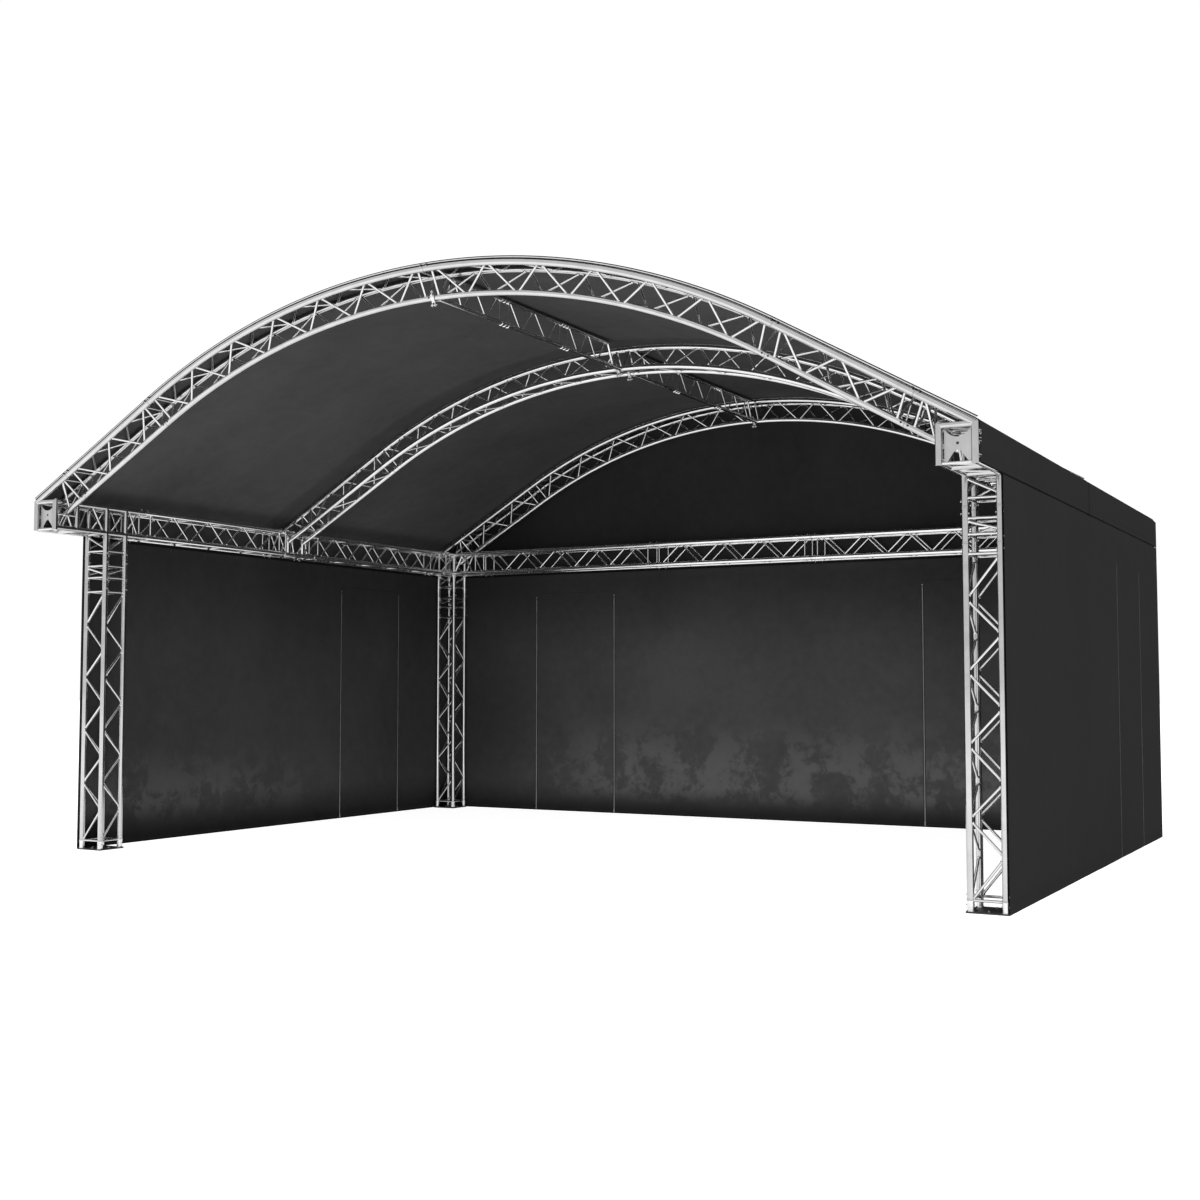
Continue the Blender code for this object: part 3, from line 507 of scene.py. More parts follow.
def pin(shape, centre, axis, along, half=0.0262, r=0.0052, flip=1.0, clip=True):
    """A coupler pin through a chord: tapered shank, head, and the spring clip through its tip."""
    axis = unit(axis) * flip
    along = unit(along)
    shape.tube([centre - axis * (half + 0.0030), centre - axis * (half + 0.0022), centre - axis * (half - 0.004),
                centre + axis * (half - 0.001), centre + axis * (half + 0.0060), centre + axis * (half + 0.0072)],
               [r * 1.1, r * 1.5, r * 1.45, r, r * 0.9, r * 0.6], 12, 3)
    if not clip:
        return
    tip = centre + axis * (half + 0.0038)
    side = np.cross(axis, along)
    wire = [tip - side * 0.010, tip + side * 0.007, tip + side * 0.012 + along * 0.003, tip + side * 0.0135 + along * 0.008,
            tip + side * 0.009 + along * 0.012, tip + side * 0.003 + along * 0.0092, tip - side * 0.003 + along * 0.0070,
            tip - side * 0.009 + along * 0.0085]
    shape.tube(wire, 0.0010, 6, 3, ref=axis)


def joint_pins(shape, at, s, axis, flip=1.0, away=0.041, clip=True, half=0.0262):
    along = unit(at(s + 0.01) - at(s - 0.01))
    for w in (-away, away):
        if abs(w) > 0:
            pin(shape, at(s + w), axis, along * (1 if w > 0 else -1), flip=flip, clip=clip, half=half)


def coupler_ring(shape, at, s, r=RC):
    """The narrow machined ring seen where two chord ends meet."""
    shape.tube([at(s - 0.0012), at(s + 0.0012)], r * 0.93, 24, 2)


def corners(cx, cy, cz, axis):
    made = {}
    for i in (-1, 1):
        for j in (-1, 1):
            if axis == 2:
                made[i, j] = line(cx + i * S, cy + j * S, 0, 2)
            elif axis == 1:
                made[i, j] = line(cx + i * S, 0, cz + j * S, 1)
            else:
                made[i, j] = line(0, cy + i * S, cz + j * S, 0)
    return made


def four_faces(c):
    return {"a-": (c[-1, -1], c[-1, 1]), "a+": (c[1, -1], c[1, 1]), "b-": (c[-1, -1], c[1, -1]), "b+": (c[-1, 1], c[1, 1])}


# ------------------------------------------------------------------ arches
def on_arc(u, v, side):
    th = max(-A_ARCH, min(A_ARCH, u / R_ARCH))
    ex = u - th * R_ARCH
    x = (R_ARCH + v) * math.sin(th) + ex * math.cos(th)
    z = ZC + (R_ARCH + v) * math.cos(th) - ex * math.sin(th)
    return side * x, z


def arc_line(v, y, side):
    def at(u):
        x, z = on_arc(u, v, side)
        return P(x, y, z)
    return at


def out_at(u, side):
    th = max(-A_ARCH, min(A_ARCH, u / R_ARCH))
    return np.array((side * math.sin(th), 0.0, math.cos(th)))


def arch_chords(y, up, side):
    pair, single = (-DEPTH, 0.0) if up else (0.0, -DEPTH)
    return arc_line(pair, y - S, side), arc_line(pair, y + S, side), arc_line(single, y, side)


def arch_tube(shape, at, u0, u1, start=True, end=True):
    """An arch chord; its coupler rings are part of its outline."""
    r = RA
    n = max(2, int((u1 - u0) / 0.09)) if u0 < U1 - 0.1 else 1
    marks = [(u0, r * 0.96)]
    if start:
        marks += [(u0 + 0.0015, r * 1.05), (u0 + 0.0070, r * 1.05), (u0 + 0.0085, r), (u0 + 0.0100, r)]
    for k in range(1, n):
        u = u0 + (u1 - u0) * k / n
        if u0 + 0.06 < u < u1 - 0.06:
            marks.append((u, r))
    if end:
        marks += [(u1 - 0.0100, r), (u1 - 0.0085, r), (u1 - 0.0070, r * 1.05), (u1 - 0.0015, r * 1.05)]
    marks.append((u1, r * 0.96))
    shape.tube([at(u) for u, _ in marks], [q for _, q in marks], 24, 0, ref=Y)


def rail_outline(slots):
    """Fabric rail section, (across, out) with the chord axis at out = 0. slots: sides that hold fabric, -1 and/or 1.
    A side with no fabric has a deep groove above the chord. With no slots at all it is a low strip under the canopy."""
    if not slots:
        right = [(0.0035, 0.020), (0.0035, 0.0262), (0.008, 0.0268), (0.008, 0.0284)]
        return right + [(-a, b) for a, b in right[::-1]]
    right = [(0.0035, 0.020), (0.0035, 0.0265), (0.008, 0.0275), (0.008, 0.0298)]
    if 1 in slots:
        right += [(0.0026, 0.0298), (0.0026, 0.0336)]
    right += [(0.008, 0.0336), (0.008, 0.0425), (0.0068, 0.0438)]
    if -1 in slots:
        left = [(-0.0035, 0.020), (-0.0035, 0.0265), (-0.008, 0.0275), (-0.008, 0.0298), (-0.0026, 0.0298), (-0.0026, 0.0336),
                (-0.008, 0.0336)]
    else:
        left = [(-0.0026, 0.020), (-0.0026, 0.0332), (-0.0085, 0.0338)]
    left += [(-0.0085, 0.0418), (-0.0068, 0.0432)]
    return right + left[::-1]


def rail(shape, y, side, u0, u1, slots, slot=0):
    n = max(1, int((u1 - u0) / 0.09)) if u0 < U1 - 0.1 else 1
    us = [u0 + (u1 - u0) * k / n for k in range(n + 1)]
    path = [P(*[on_arc(u, 0.0, side)[0], y, on_arc(u, 0.0, side)[1]]) for u in us]
    up = [out_at(u, side) for u in us]
    outline = rail_outline(slots)
    if side > 0:
        shape.profile(outline, path, [Y] * len(us), up, slot)
    else:
        shape.profile([(-a, b) for a, b in rail_outline([-s for s in slots])], path, [-Y * -1] * len(us), up, slot)


def cords(name, y, side, spans):
    """Black keder cord lying in the rail's front groove, and a rubber lip on the rail's top."""
    shape = Shape()
    for u0, u1 in spans:
        n = max(1, int((u1 - u0) / 0.09)) if u0 < U1 - 0.1 else 1
        us = [u0 + (u1 - u0) * k / n for k in range(n + 1)]
        for across, out, radius in ((-0.0070, 0.0293, 0.0038),):
            line3 = [P(on_arc(u, out, side)[0], y + across, on_arc(u, out, side)[1]) for u in us]
            shape.tube(line3, radius, 10, 0, ref=Y)
        outline = [(-0.0088, 0.0436), (0.0088, 0.0436), (0.0088, 0.0462), (0.0060, 0.0496), (-0.0060, 0.0496), (-0.0088, 0.0462)]
        if side < 0:
            outline = outline[::-1]
        path = [P(on_arc(u, 0.0, side)[0], y, on_arc(u, 0.0, side)[1]) for u in us]
        shape.profile(outline, path, [Y] * len(us), [out_at(u, side) for u in us], 0)
    place(shape, name, (CORD,), slot="canopy_cloth")


def seam_cover(name, y, side):
    """Narrow flap over the rail between the two canopy bays."""
    shape = Shape()
    outline = [(-0.0040, 0.0440), (0.0040, 0.0440), (0.0040, 0.0462), (-0.0040, 0.0462)]
    us = [U_END * k / 60 for k in range(60)] + [U_END - 0.006]
    path = [P(on_arc(u, 0.0, side)[0], y, on_arc(u, 0.0, side)[1]) for u in us]
    shape.profile(outline if side > 0 else outline[::-1], path, [Y] * len(us), [out_at(u, side) for u in us], 0)
    place(shape, name, (CORD,), slot="canopy_cloth")


# ------------------------------------------------------------------ towers, spacers, plates
HALF = PLATE / 2


def tower(tag, cx, cy):
    c = corners(cx, cy, 0, 2)
    shape = Shape()
    for at in c.values():
        chord(shape, at, Z_RING, Z_J1 - 0.0004)
    nodes = [0.072, 0.382, 0.630, 0.880, 1.130, 1.384, 1.630, 1.885, 2.130, 2.434]
    for a, b in four_faces(c).values():
        zigzag(shape, a, b, nodes, 0)
        for z in (0.112, 2.442):
            cross(shape, a, b, z if z > 1 else 0.112 - 0.026)
    # The front towers take the aluminium copy painted darker.
    metal = TRUSS_FRONT_PAINTED_DARKER if cy < 1 else TRUSS
    place(shape, f"tower_{tag}", metal, f"tower_truss_{tag}")

    shape = Shape()
    for at in c.values():
        chord(shape, at, Z_J1 + 0.0004, Z_J2 - 0.0004)
    for a, b in ((c[1, -1], c[-1, -1]), (c[-1, 1], c[1, 1]), (c[-1, -1], c[-1, 1]), (c[1, -1], c[1, 1])):
        for z in (2.577, 2.688):
            cross(shape, a, b, z)
        brace(shape, a(2.606), b(2.670), Z)
    place(shape, f"spacer_{tag}", metal, f"spacer_truss_{tag}")

    def tip(i):
        """A pin's tip points away from the cloth, which hangs close to the outer chords."""
        return float(-i) if i * cx > 0 else float(i)

    pins = Shape()
    for z in (Z_J1, Z_J2):
        for (i, j), at in c.items():
            joint_pins(pins, at, z, X, flip=tip(i))
            coupler_ring(pins, at, z)
    for (i, j), at in c.items():
        pin(pins, at(Z_RING - 0.034), X, Z, flip=tip(i), clip=False)
        pin(pins, at(Z_RING + 0.036), X, Z, flip=tip(i), clip=False)
        coupler_ring(pins, at, Z_RING)
    place(pins, f"pins_{tag}", metal)

    plate = Shape()
    work = bmesh.new()
    bmesh.ops.create_cube(work, size=1.0, matrix=Matrix.Diagonal((PLATE, PLATE, 0.012, 1.0)))
    upright = [e for e in work.edges if abs((e.verts[0].co - e.verts[1].co).z) > 0.005]
    bmesh.ops.bevel(work, geom=upright, offset=0.006, segments=4, profile=0.5, affect="EDGES")
    bmesh.ops.bevel(work, geom=[e for e in work.edges if e.calc_face_angle(0) > 1.2], offset=0.0012, segments=2,
                    profile=0.5, affect="EDGES")
    plate.take(work, 0, Matrix.Translation((cx, cy + Y0, 0.006)))
    for at in c.values():
        marks = [(0.0115, 0.0290), (0.0150, 0.0278), (0.0185, 0.0250), (0.058, 0.0250), (0.074, 0.0262), (Z_RING - 0.0125, 0.0262),
                 (Z_RING - 0.011, 0.0268), (Z_RING - 0.0015, 0.0268), (Z_RING - 0.0002, 0.0242)]
        plate.tube([at(z) for z, _ in marks], [r for _, r in marks], 24, 1)
    for i, j in ((-1, 0), (1, 0), (0, -1), (0, 1)):
        x, y = cx + i * 0.105, cy + j * 0.105
        plate.tube([P(x, y, 0.0118), P(x, y, 0.0135), P(x, y, 0.0140)], [0.011, 0.011, 0.010], 20, 2)
        plate.tube([P(x, y, 0.0138), P(x, y, 0.0190), P(x, y, 0.0196)], [0.0085, 0.0085, 0.0075], 6, 2)
    place(plate, f"plate_{tag}", (PLATE_BLACK, CAST, ZINC), f"base_plate_{tag}", slot="plate_black")


for tag, cx, cy in (("front_left", -TX, 0.0), ("front_right", TX, 0.0), ("back_left", -TX, TY), ("back_right", TX, TY)):
    tower(tag, cx, cy)


# ------------------------------------------------------------------ beams
def beam(name, node, axis, centre, s0, s1, vertical, first, pins=True):
    c = corners(*centre, axis)
    shape = Shape()
    for at in c.values():
        chord(shape, at, s0 + 0.0004, s1 - 0.0004)
    faces = four_faces(c)
    for face in ("a-", "a+"):
        zigzag(shape, *faces[face], vertical, first)
    for face in ("b-", "b+"):
        zigzag(shape, *faces[face], vertical, first)
    for pair in faces.values():
        for s in (s0 + 0.076, s1 - 0.076):
            cross(shape, *pair, s)
    place(shape, name, TRUSS_IN_PAINTED_BRIGHTER, node)


for tag, side in (("left", -1), ("right", 1)):
    beam(f"beam_side_front_{tag}", f"side_beam_front_{tag}", 1, (side * TX, 0, ZB + S), Y_B1, Y_B2,
         [0.475, 0.750, 0.982, 1.256, 1.490, 1.765, 2.002, 2.275], 0)
    beam(f"beam_side_back_{tag}", f"side_beam_back_{tag}", 1, (side * TX, 0, ZB + S), Y_B3, Y_B4,
         [3.025, 3.290, 3.533, 3.800, 4.042, 4.308, 4.551, 4.817, 5.060, 5.325], 0)
for name, i, start, pitch, count, first in (
    ("left", 0, -3.612, 0.2495, 9, 1), ("middle", 1, -1.147, 0.2545, 7, 0), ("right", 2, 0.87, 0.251, 11, 1)
):
    beam(f"beam_back_{name}", f"back_beam_{name}", 0, (0, TY, ZB + S), X_B[i], X_B[i + 1], steps(start, pitch, count), first)

pins = Shape()
for side in (-1, 1):
    for (i, j), at in corners(side * TX, 0, ZB + S, 1).items():
        for y in (Y_B1, Y_B2, Y_B3, Y_B4):
            joint_pins(pins, at, y, Z, flip=float(j))
            coupler_ring(pins, at, y)
for (i, j), at in corners(0, TY, ZB + S, 0).items():
    for x in X_B:
        joint_pins(pins, at, x, Z, flip=float(j))
        coupler_ring(pins, at, x)
place(pins, "pins_beams", TRUSS_IN_PAINTED_BRIGHTER)


# ------------------------------------------------------------------ blocks
def post(shape, x, y, z0, z1, r=RC, caps=True):
    """An upright 50 mm tube with a rounded weld at its ends."""
    marks = [(z0, r * 0.9), (z0 + 0.002, r), (z1 - 0.002, r), (z1, r * 0.9)]
    shape.tube([P(x, y, z) for z, _ in marks], [q for _, q in marks], 24, 0)


def bar(shape, p, q, r=RC, slot=0, sides=24):
    shape.tube([p, q], r, sides, slot)


def block_leg(shape, cx, cy, top=ZT):
    c = corners(cx, cy, 0, 2)
    for at in c.values():
        chord(shape, at, Z_J2 + 0.0004, top, start=True, end=False)
    for a, b in (((1, -1), (-1, -1)), ((-1, 1), (1, 1)), ((-1, -1), (-1, 1)), ((1, -1), (1, 1))):
        cross(shape, c[a], c[b], 2.829)
        brace(shape, c[a](2.852), c[b](2.968), Z)
    return c


def thin(shape, p, q, rp=RC, rq=RC, along=Y, r=RB):
    brace(shape, p, q, along, rp, rq, r)


def arch_stub(shape, y, up, side):
    """The arch's foot, welded to the block."""
    lines = arch_chords(y, up, side)
    for k, at in enumerate(lines):
        low = up if k < 2 else not up
        stop_x = TX - S if low else TX + S
        d = (at(U_END)[0] - at(U2)[0]) / (U_END - U2)
        u_stop = U2 + (side * stop_x - at(U2)[0]) / d
        arch_tube(shape, at, U2 + 0.0004, u_stop, start=True, end=False)
    a, b, c = lines
    for p, q in ((a, c), (b, c), (a, b)):
        along = unit(p(U2 + 0.08) - p(U2 + 0.06))
        brace(shape, p(U2 + 0.07), q(U2 + 0.07), along, RA, RA)
    if not up:
        for p in (a, b):
            along = unit(p(U2 + 0.2) - p(U2 + 0.1))
            brace(shape, p(U2 + 0.082), c(U2 + 0.235), along, RA, RA)
        brace(shape, a(U2 + 0.10), b(U2 + 0.33), unit(a(U2 + 0.2) - a(U2 + 0.1)), RA, RA)
    else:
        for p in (a, b):
            brace(shape, p(U2 + 0.055), c(U2 + 0.225), unit(c(U2 + 0.2) - c(U2 + 0.1)), RA, RA)


def end_plate(shape, cx, y0, y1, slot):
    """Sheet between the front posts: shallow scoop above, arched cut below, one hole."""
    half, low, high = S - RC * 0.55, 2.986, ZT - 0.020
    inner = S - RC - 0.0055
    middle = (low + high) / 2
    edge = [(half, low + 0.020), (inner, low + 0.020), (inner, middle - 0.016), (half, middle - 0.016), (half, middle + 0.016),
            (inner, middle + 0.016), (inner, high - 0.020), (half, high - 0.020)]
    outline = [(-half, low), (-0.096, low)]
    for k in range(1, 36):
        t = -1 + k / 18
        outline.append((0.082 * t * (1 + 0.17 * abs(t) ** 6), low + 0.090 * (0.5 + 0.5 * math.cos(math.pi * t)) ** 0.72))
    outline += [(0.096, low), (half, low), *edge, (half, high)]
    for k in range(0, 31):
        t = 1 - k / 15
        outline.append((0.088 * t, high - 0.058 * (1 - abs(t) ** 2.3)))
    outline += [(-half, high), *[(-a, b) for a, b in edge[::-1]]]
    curve = bpy.data.curves.new("plate", "CURVE")
    curve.dimensions = "2D"
    curve.fill_mode = "BOTH"
    curve.extrude = (y1 - y0) / 2
    for loop in (outline, [(0.0100 * math.cos(k * math.pi / 10), 3.119 + 0.0100 * math.sin(k * math.pi / 10)) for k in range(20)]):
        spline = curve.splines.new("POLY")
        spline.points.add(len(loop) - 1)
        for point, (a, b) in zip(spline.points, loop):
            point.co = (a, b, 0.0, 1.0)
        spline.use_cyclic_u = True
    holder = bpy.data.objects.new("plate", curve)
    bpy.context.scene.collection.objects.link(holder)
    graph = bpy.context.evaluated_depsgraph_get()
    mesh = bpy.data.meshes.new_from_object(holder.evaluated_get(graph))
    bpy.data.objects.remove(holder)
    bpy.data.curves.remove(curve)
    work = bmesh.new()
    work.from_mesh(mesh)
    bpy.data.meshes.remove(mesh)
    bmesh.ops.remove_doubles(work, verts=work.verts, dist=0.00005)
    bmesh.ops.transform(work, matrix=Matrix.Translation((cx, (y0 + y1) / 2 + Y0, 0)) @ Matrix.Rotation(math.pi / 2, 4, "X"),
                        verts=work.verts)
    work.normal_update()
    bmesh.ops.recalc_face_normals(work, faces=work.faces)
    shape.take(work, slot)


def front_block(tag, side):
    xi, xo = side * (TX - S), side * (TX + S)
    shape = Shape()
    c = block_leg(shape, side * TX, 0.0, ZT)
    for x in (xi, xo):
        for z in (ZB, ZT):
            at = line(x, 0, z, 1)
            chord(shape, at, Y_FRONT, Y_B1 - 0.0004, start=False, end=True)
        post(shape, x, Y_FRONT, ZB - RC, ZT + 0.012)
        post(shape, x, Y_POST, ZB, ZT)
    for y, r in ((Y_FRONT, 0.021), (Y_POST, RC)):
        bar(shape, P(xi, y, ZT - 0.002), P(xo, y, ZT - 0.002), r)
    bar(shape, P(xi, Y_FRONT, ZB - 0.012), P(xo, Y_FRONT, ZB - 0.012), 0.0095, 1, 14)
    # inner face, front bay: mid rail, a V and one brace below it
    bar(shape, P(xi, Y_FRONT, 3.125), P(xi, Y_POST, 3.125), 0.0105, 1, 14)
    for y0, y1 in ((-0.690, -0.622), (-0.655, -0.590), (-0.530, -0.586)):
        thin(shape, P(xi, y0, ZB), P(xi, y1, 3.125), RC, 0.010)
    # outer face, front bay
    for y0, y1 in ((-0.70, -0.52), (-0.52, -0.70)):
        thin(shape, P(xo, y0, ZB), P(xo, y1, ZT))
    # bays before and behind the tower
    thin(shape, P(xi, -0.148, ZB), P(xi, -0.295, ZT))
    thin(shape, P(xo, -0.258, ZB), P(xo, -0.150, ZT))
    thin(shape, P(xo, -0.310, ZB), P(xo, -0.400, ZT))
    for x in (xi, xo):
        thin(shape, P(x, 0.275, ZB), P(x, 0.160, ZT))
        thin(shape, P(x, 0.295, ZB), P(x, 0.295, ZT))
    for a, b, y in ((xi, xo, -S), (xo, xi, -S), (xo, xi, S), (xo, xi, 0.295)):
        brace(shape, P(a, y, ZB), P(b, y, ZT), Z, RC, RC)
    for z in (ZB, ZT):
        brace(shape, P(xi, 0.295, z), P(xo, 0.295, z), Y, RC, RC)
        for k, (y0, y1) in enumerate([(-0.66, -0.53), (-0.43, -0.30), (-0.28, -0.15), (-0.09, 0.09), (0.15, 0.27)]):
            a, b = (xi, xo) if k % 2 == 0 else (xo, xi)
            brace(shape, P(a, y0, z), P(b, y1, z), Y, RC, RC)
    for y in (Y_POST, -S, S):
        bar(shape, P(xi, y, ZB), P(xo, y, ZB), RC * 0.98)
    arch_stub(shape, -0.611, False, side)
    rail(shape, Y_FRONT, side, U2 + 0.001, U_END - 0.004, (1,), 5)
    rail(shape, Y_SECOND, side, U2 + 0.001, U_END - 0.004, (), 5)
    end_plate(shape, side * TX, -0.712, -0.706, 6)
    # A black plug behind the plate's hole: painted shade, so the hole reads dark.
    shape.tube([P(side * TX, -0.7095, 3.119), P(side * TX, -0.6900, 3.119)], 0.0125, 16, 7)
    place(shape, f"block_front_{tag}", (*TRUSS_FRONT_PAINTED_DARKER, RAILS, SHEET_ALU, END_PLATE_SHADE_PLUG), f"front_block_{tag}")
    cords(f"cords_stub_{tag}", Y_FRONT, side, ((U2 + 0.001, U_END - 0.004),))


def side_block(tag, side):
    xi, xo = side * (TX - S), side * (TX + S)
    shape = Shape()
    for x in (xi, xo):
        for z in (ZB, ZT):
            chord(shape, line(x, 0, z, 1), Y_B2 + 0.0004, Y_B3 - 0.0004)
    for y in (2.488, 2.728):
        post(shape, xi, y, ZB, Z_RAIL + 0.036)
        bar(shape, P(xi, y, ZT), P(xo, y, ZT), 0.018, 1, 16)
    bar(shape, P(xi, 2.608, ZT), P(xo, 2.608, ZT), RC * 0.98)
    for y in (2.488, 2.728):
        bar(shape, P(xi, y, 3.135), P(xi, y + 0.066, 3.135), 0.0105, 1, 12)
    for y0, y1, z1 in ((2.592, 2.548, 3.140), (2.812, 2.775, 3.140), (2.620, 2.700, 3.085)):
        thin(shape, P(xi, y0, ZB), P(xi, y1, z1), RC, 0.006)
    for x in (xi, xo):
        for y in (2.450, 2.846):
            thin(shape, P(x, y, ZB), P(x, y, ZT))
    for y0, y1 in ((2.47, 2.60), (2.62, 2.75)):
        thin(shape, P(xo, y0, ZB), P(xo, y1, ZT))
        thin(shape, P(xo, y1, ZB), P(xo, y0, ZT))
    thin(shape, P(xi, 2.770, ZB), P(xi, 2.830, ZT))
    for z in (ZB, ZT):
        for y in (2.452, 2.848):
            brace(shape, P(xi, y, z), P(xo, y, z), Y, RC, RC)
        brace(shape, P(xi, 2.47, z), P(xo, 2.66, z), Y, RC, RC)
        brace(shape, P(xo, 2.68, z), P(xi, 2.84, z), Y, RC, RC)
    arch_stub(shape, 2.608, True, side)
    rail(shape, 2.608, side, U2 + 0.001, U_END - 0.004, (-1, 1), 5)
    place(shape, f"block_side_{tag}", (*TRUSS_IN_PAINTED_BRIGHTER, RAILS), f"side_block_{tag}")


def corner_block(tag, side):
    xi, xo = side * (TX - S), side * (TX + S)
    yi, yo = TY - S, TY + S
    xj = side * X_B[3]
    shape = Shape()
    block_leg(shape, side * TX, TY)
    for x in (xi, xo):
        for z in (ZB, ZT):
            chord(shape, line(x, 0, z, 1), Y_B4 + 0.0004, yo, start=True, end=False)
        thin(shape, P(x, Y_B4 + 0.072, ZB), P(x, Y_B4 + 0.072, ZT))
        thin(shape, P(x, 5.545, ZB), P(x, 5.672, ZT))
        thin(shape, P(x, 5.73, ZB), P(x, 5.92, ZT))
    for y in (yi, yo):
        for z in (ZB, ZT):
            at = line(0, y, z, 0)
            if side > 0:
                chord(shape, at, xj + 0.0004, xo, start=True, end=False)
            else:
                chord(shape, at, xo, xj - 0.0004, start=False, end=True)
        thin(shape, P(xj + side * 0.052, y, ZB), P(xj + side * 0.052, y, ZT), along=X)
        thin(shape, P(xj + side * 0.095, y, ZB), P(xj + side * 0.225, y, ZT), along=X)
        thin(shape, P(xj + side * 0.250, y, ZT), P(xj + side * 0.372, y, ZB), along=X)
        brace(shape, P(xi, y, ZB), P(xo, y, ZT), Z, RC, RC)
        brace(shape, P(xo, y, ZB), P(xi, y, ZT), Z, RC, RC)
    bar(shape, P(xi, yi, 3.142), P(xi, yo, 3.142), 0.0125, 1, 12)
    for z in (ZB, ZT):
        brace(shape, P(xi, Y_B4 + 0.072, z), P(xo, Y_B4 + 0.072, z), Y, RC, RC)
        brace(shape, P(xi, 5.545, z), P(xo, 5.69, z), Y, RC, RC)
        brace(shape, P(xj + side * 0.072, yi, z), P(xj + side * 0.072, yo, z), X, RC, RC)
        brace(shape, P(xj + side * 0.10, yo, z), P(xj + side * 0.34, yi, z), X, RC, RC)
        brace(shape, P(xi, yi, z), P(xo, yo, z), X, RC, RC)
    arch_stub(shape, TY, False, side)
    rail(shape, TY - S, side, U2 + 0.001, U_END - 0.004, (), 5)
    place(shape, f"block_corner_{tag}", (*TRUSS_IN_PAINTED_BRIGHTER, RAILS), f"back_corner_block_{tag}")


for tag, side in (("left", -1), ("right", 1)):
    front_block(tag, side)
    side_block(tag, side)
    corner_block(tag, side)


# ------------------------------------------------------------------ arch modules
ARCH = (ALU_ARCH, BRACE, CAST, ZINC, PIN_HOLE_SHADE)
ARCH_FRONT_PAINTED_DARKER = (ALU_ARCH_FRONT_PAINTED_DARKER, BRACE, CAST, ZINC, PIN_HOLE_SHADE)
arch_pins = Shape()
for name, y, up, rails, turned in (
    ("front", -0.611, False, ((Y_FRONT, (1,)),), 0), ("middle", 2.608, True, ((2.608, (-1, 1)),), 0),
    ("back", TY, False, ((TY - S, ()),), 1)
):
    for tag, side in (("left", -1), ("right", 1)):
        a, b, c = arch_chords(y, up, side)
        for kind, u0, u1, nodes, posts in (
            ("curved", 0.0004, U1 - 0.0004, steps(0.099, PITCH_ARCH, 12), (0.066, 3.045)),
            ("straight", U1 + 0.0004, U2 - 0.0004, steps(3.188, 0.2418, 4), (3.178, 4.200)),
        ):
            shape = Shape()
            for at in (a, b, c):
                arch_tube(shape, at, u0, u1)
            zigzag(shape, a, c, nodes, turned, gap=0.006, r0=RA, r1=RA)
            zigzag(shape, b, c, nodes, 1 - turned, gap=0.006, r0=RA, r1=RA)
            zigzag(shape, a, b, nodes, 1 - turned, r0=RA, r1=RA)
            for u in posts:
                for p, q in ((a, c), (b, c), (a, b)):
                    cross(shape, p, q, u, RA, RA)
            place(shape, f"arch_{name}_{kind}_{tag}", ARCH_FRONT_PAINTED_DARKER if name == "front" else ARCH, f"arch_{name}_{kind}_{tag}")
        for u in (0.0, U1, U2):
            if u == 0.0 and side < 0:
                continue
            for at in (a, b, c):
                coupler_ring(arch_pins, at, u, RA)
                o = out_at(u, side)
                along = unit(at(u + 0.01) - at(u - 0.01))
                for w in (-0.027, 0.027):
                    # Dark discs on the single chord, and the dark blocks by the outer chord's pins below, are painted
                    # shade of the pin holes.
                    if at is c:
                        face = at(u + w) - Y * (RA - 0.0010)
                        arch_pins.tube([face, face - Y * 0.0016, face - Y * 0.0020], [0.0080, 0.0080, 0.0068], 14, 4)
                        continue
                    if at is a and not up:
                        head = at(u + w) + o * (RA + 0.004) - Y * (RA * 0.55)
                        arch_pins.block(head, (0.017, 0.012, 0.015), 0.002, 4, (along, Y, o))
                    turn = -Y if at is a else Y
                    pin(arch_pins, at(u + w), unit(turn * 0.80 - o * 0.6 * (1 if up else -1)), along, half=0.0235, r=0.0052,
                        flip=1.0, clip=False)
        for k, (ry, slots) in enumerate(rails):
            shape = Shape()
            for u0, u1 in ((0.001, U1 - 0.001), (U1 + 0.001, U2 - 0.001)):
                rail(shape, ry, side, u0, u1, slots)
            place(shape, f"rail_{name}_{tag}", (RAILS,))
            if name == "front":
                cords(f"cords_{name}_{tag}", ry, side, ((0.001, U1 - 0.001), (U1 + 0.001, U2 - 0.001)))
place(arch_pins, "pins_arches", ARCH)


# ------------------------------------------------------------------ ridge ladders
def half_coupler(shape, centre, axis, up, r=RA):
    """A hinged clamp round an arch chord, with its bolt and wing nut below."""
    axis, up = unit(axis), unit(up)
    side = np.cross(up, axis)
    outline = []
    for k in range(25):
        t = -math.pi * 0.5 + 2 * math.pi * k / 25
        outline.append(centre + (r + 0.0055) * (math.cos(t) * side + math.sin(t) * up))
    for w in (-0.0115, 0.0115):
        shape.tube([p + axis * w for p in outline], 0.0052, 8, 2, ref=axis, closed=True)
    for w in (-0.0055, 0.0, 0.0055):
        shape.tube([p + axis * w for p in outline], 0.0050, 8, 2, ref=axis, closed=True)
    for s in (-1, 1):
        shape.block(centre - up * (r + 0.026) + axis * s * 0.0125, (0.020, 0.0075, 0.046), 0.002, 2, (side, axis, up))
    shape.block(centre - up * (r + 0.010), (0.030, 0.034, 0.014), 0.003, 2, (side, axis, up))
    bolt = centre - up * (r + 0.034)
    shape.tube([bolt - axis * 0.026, bolt + axis * 0.030], 0.0050, 12, 3)
    shape.tube([bolt - axis * 0.026, bolt - axis * 0.018], 0.0095, 6, 3)
    eye = centre - side * (r + 0.012) + up * 0.010
    shape.block(eye, (0.020, 0.024, 0.018), 0.003, 2, (side, axis, up))
    shape.tube([eye - up * 0.012, eye + up * 0.042], 0.0060, 12, 3)
    shape.tube([eye + up * 0.022, eye + up * 0.034], 0.0115, 6, 3)


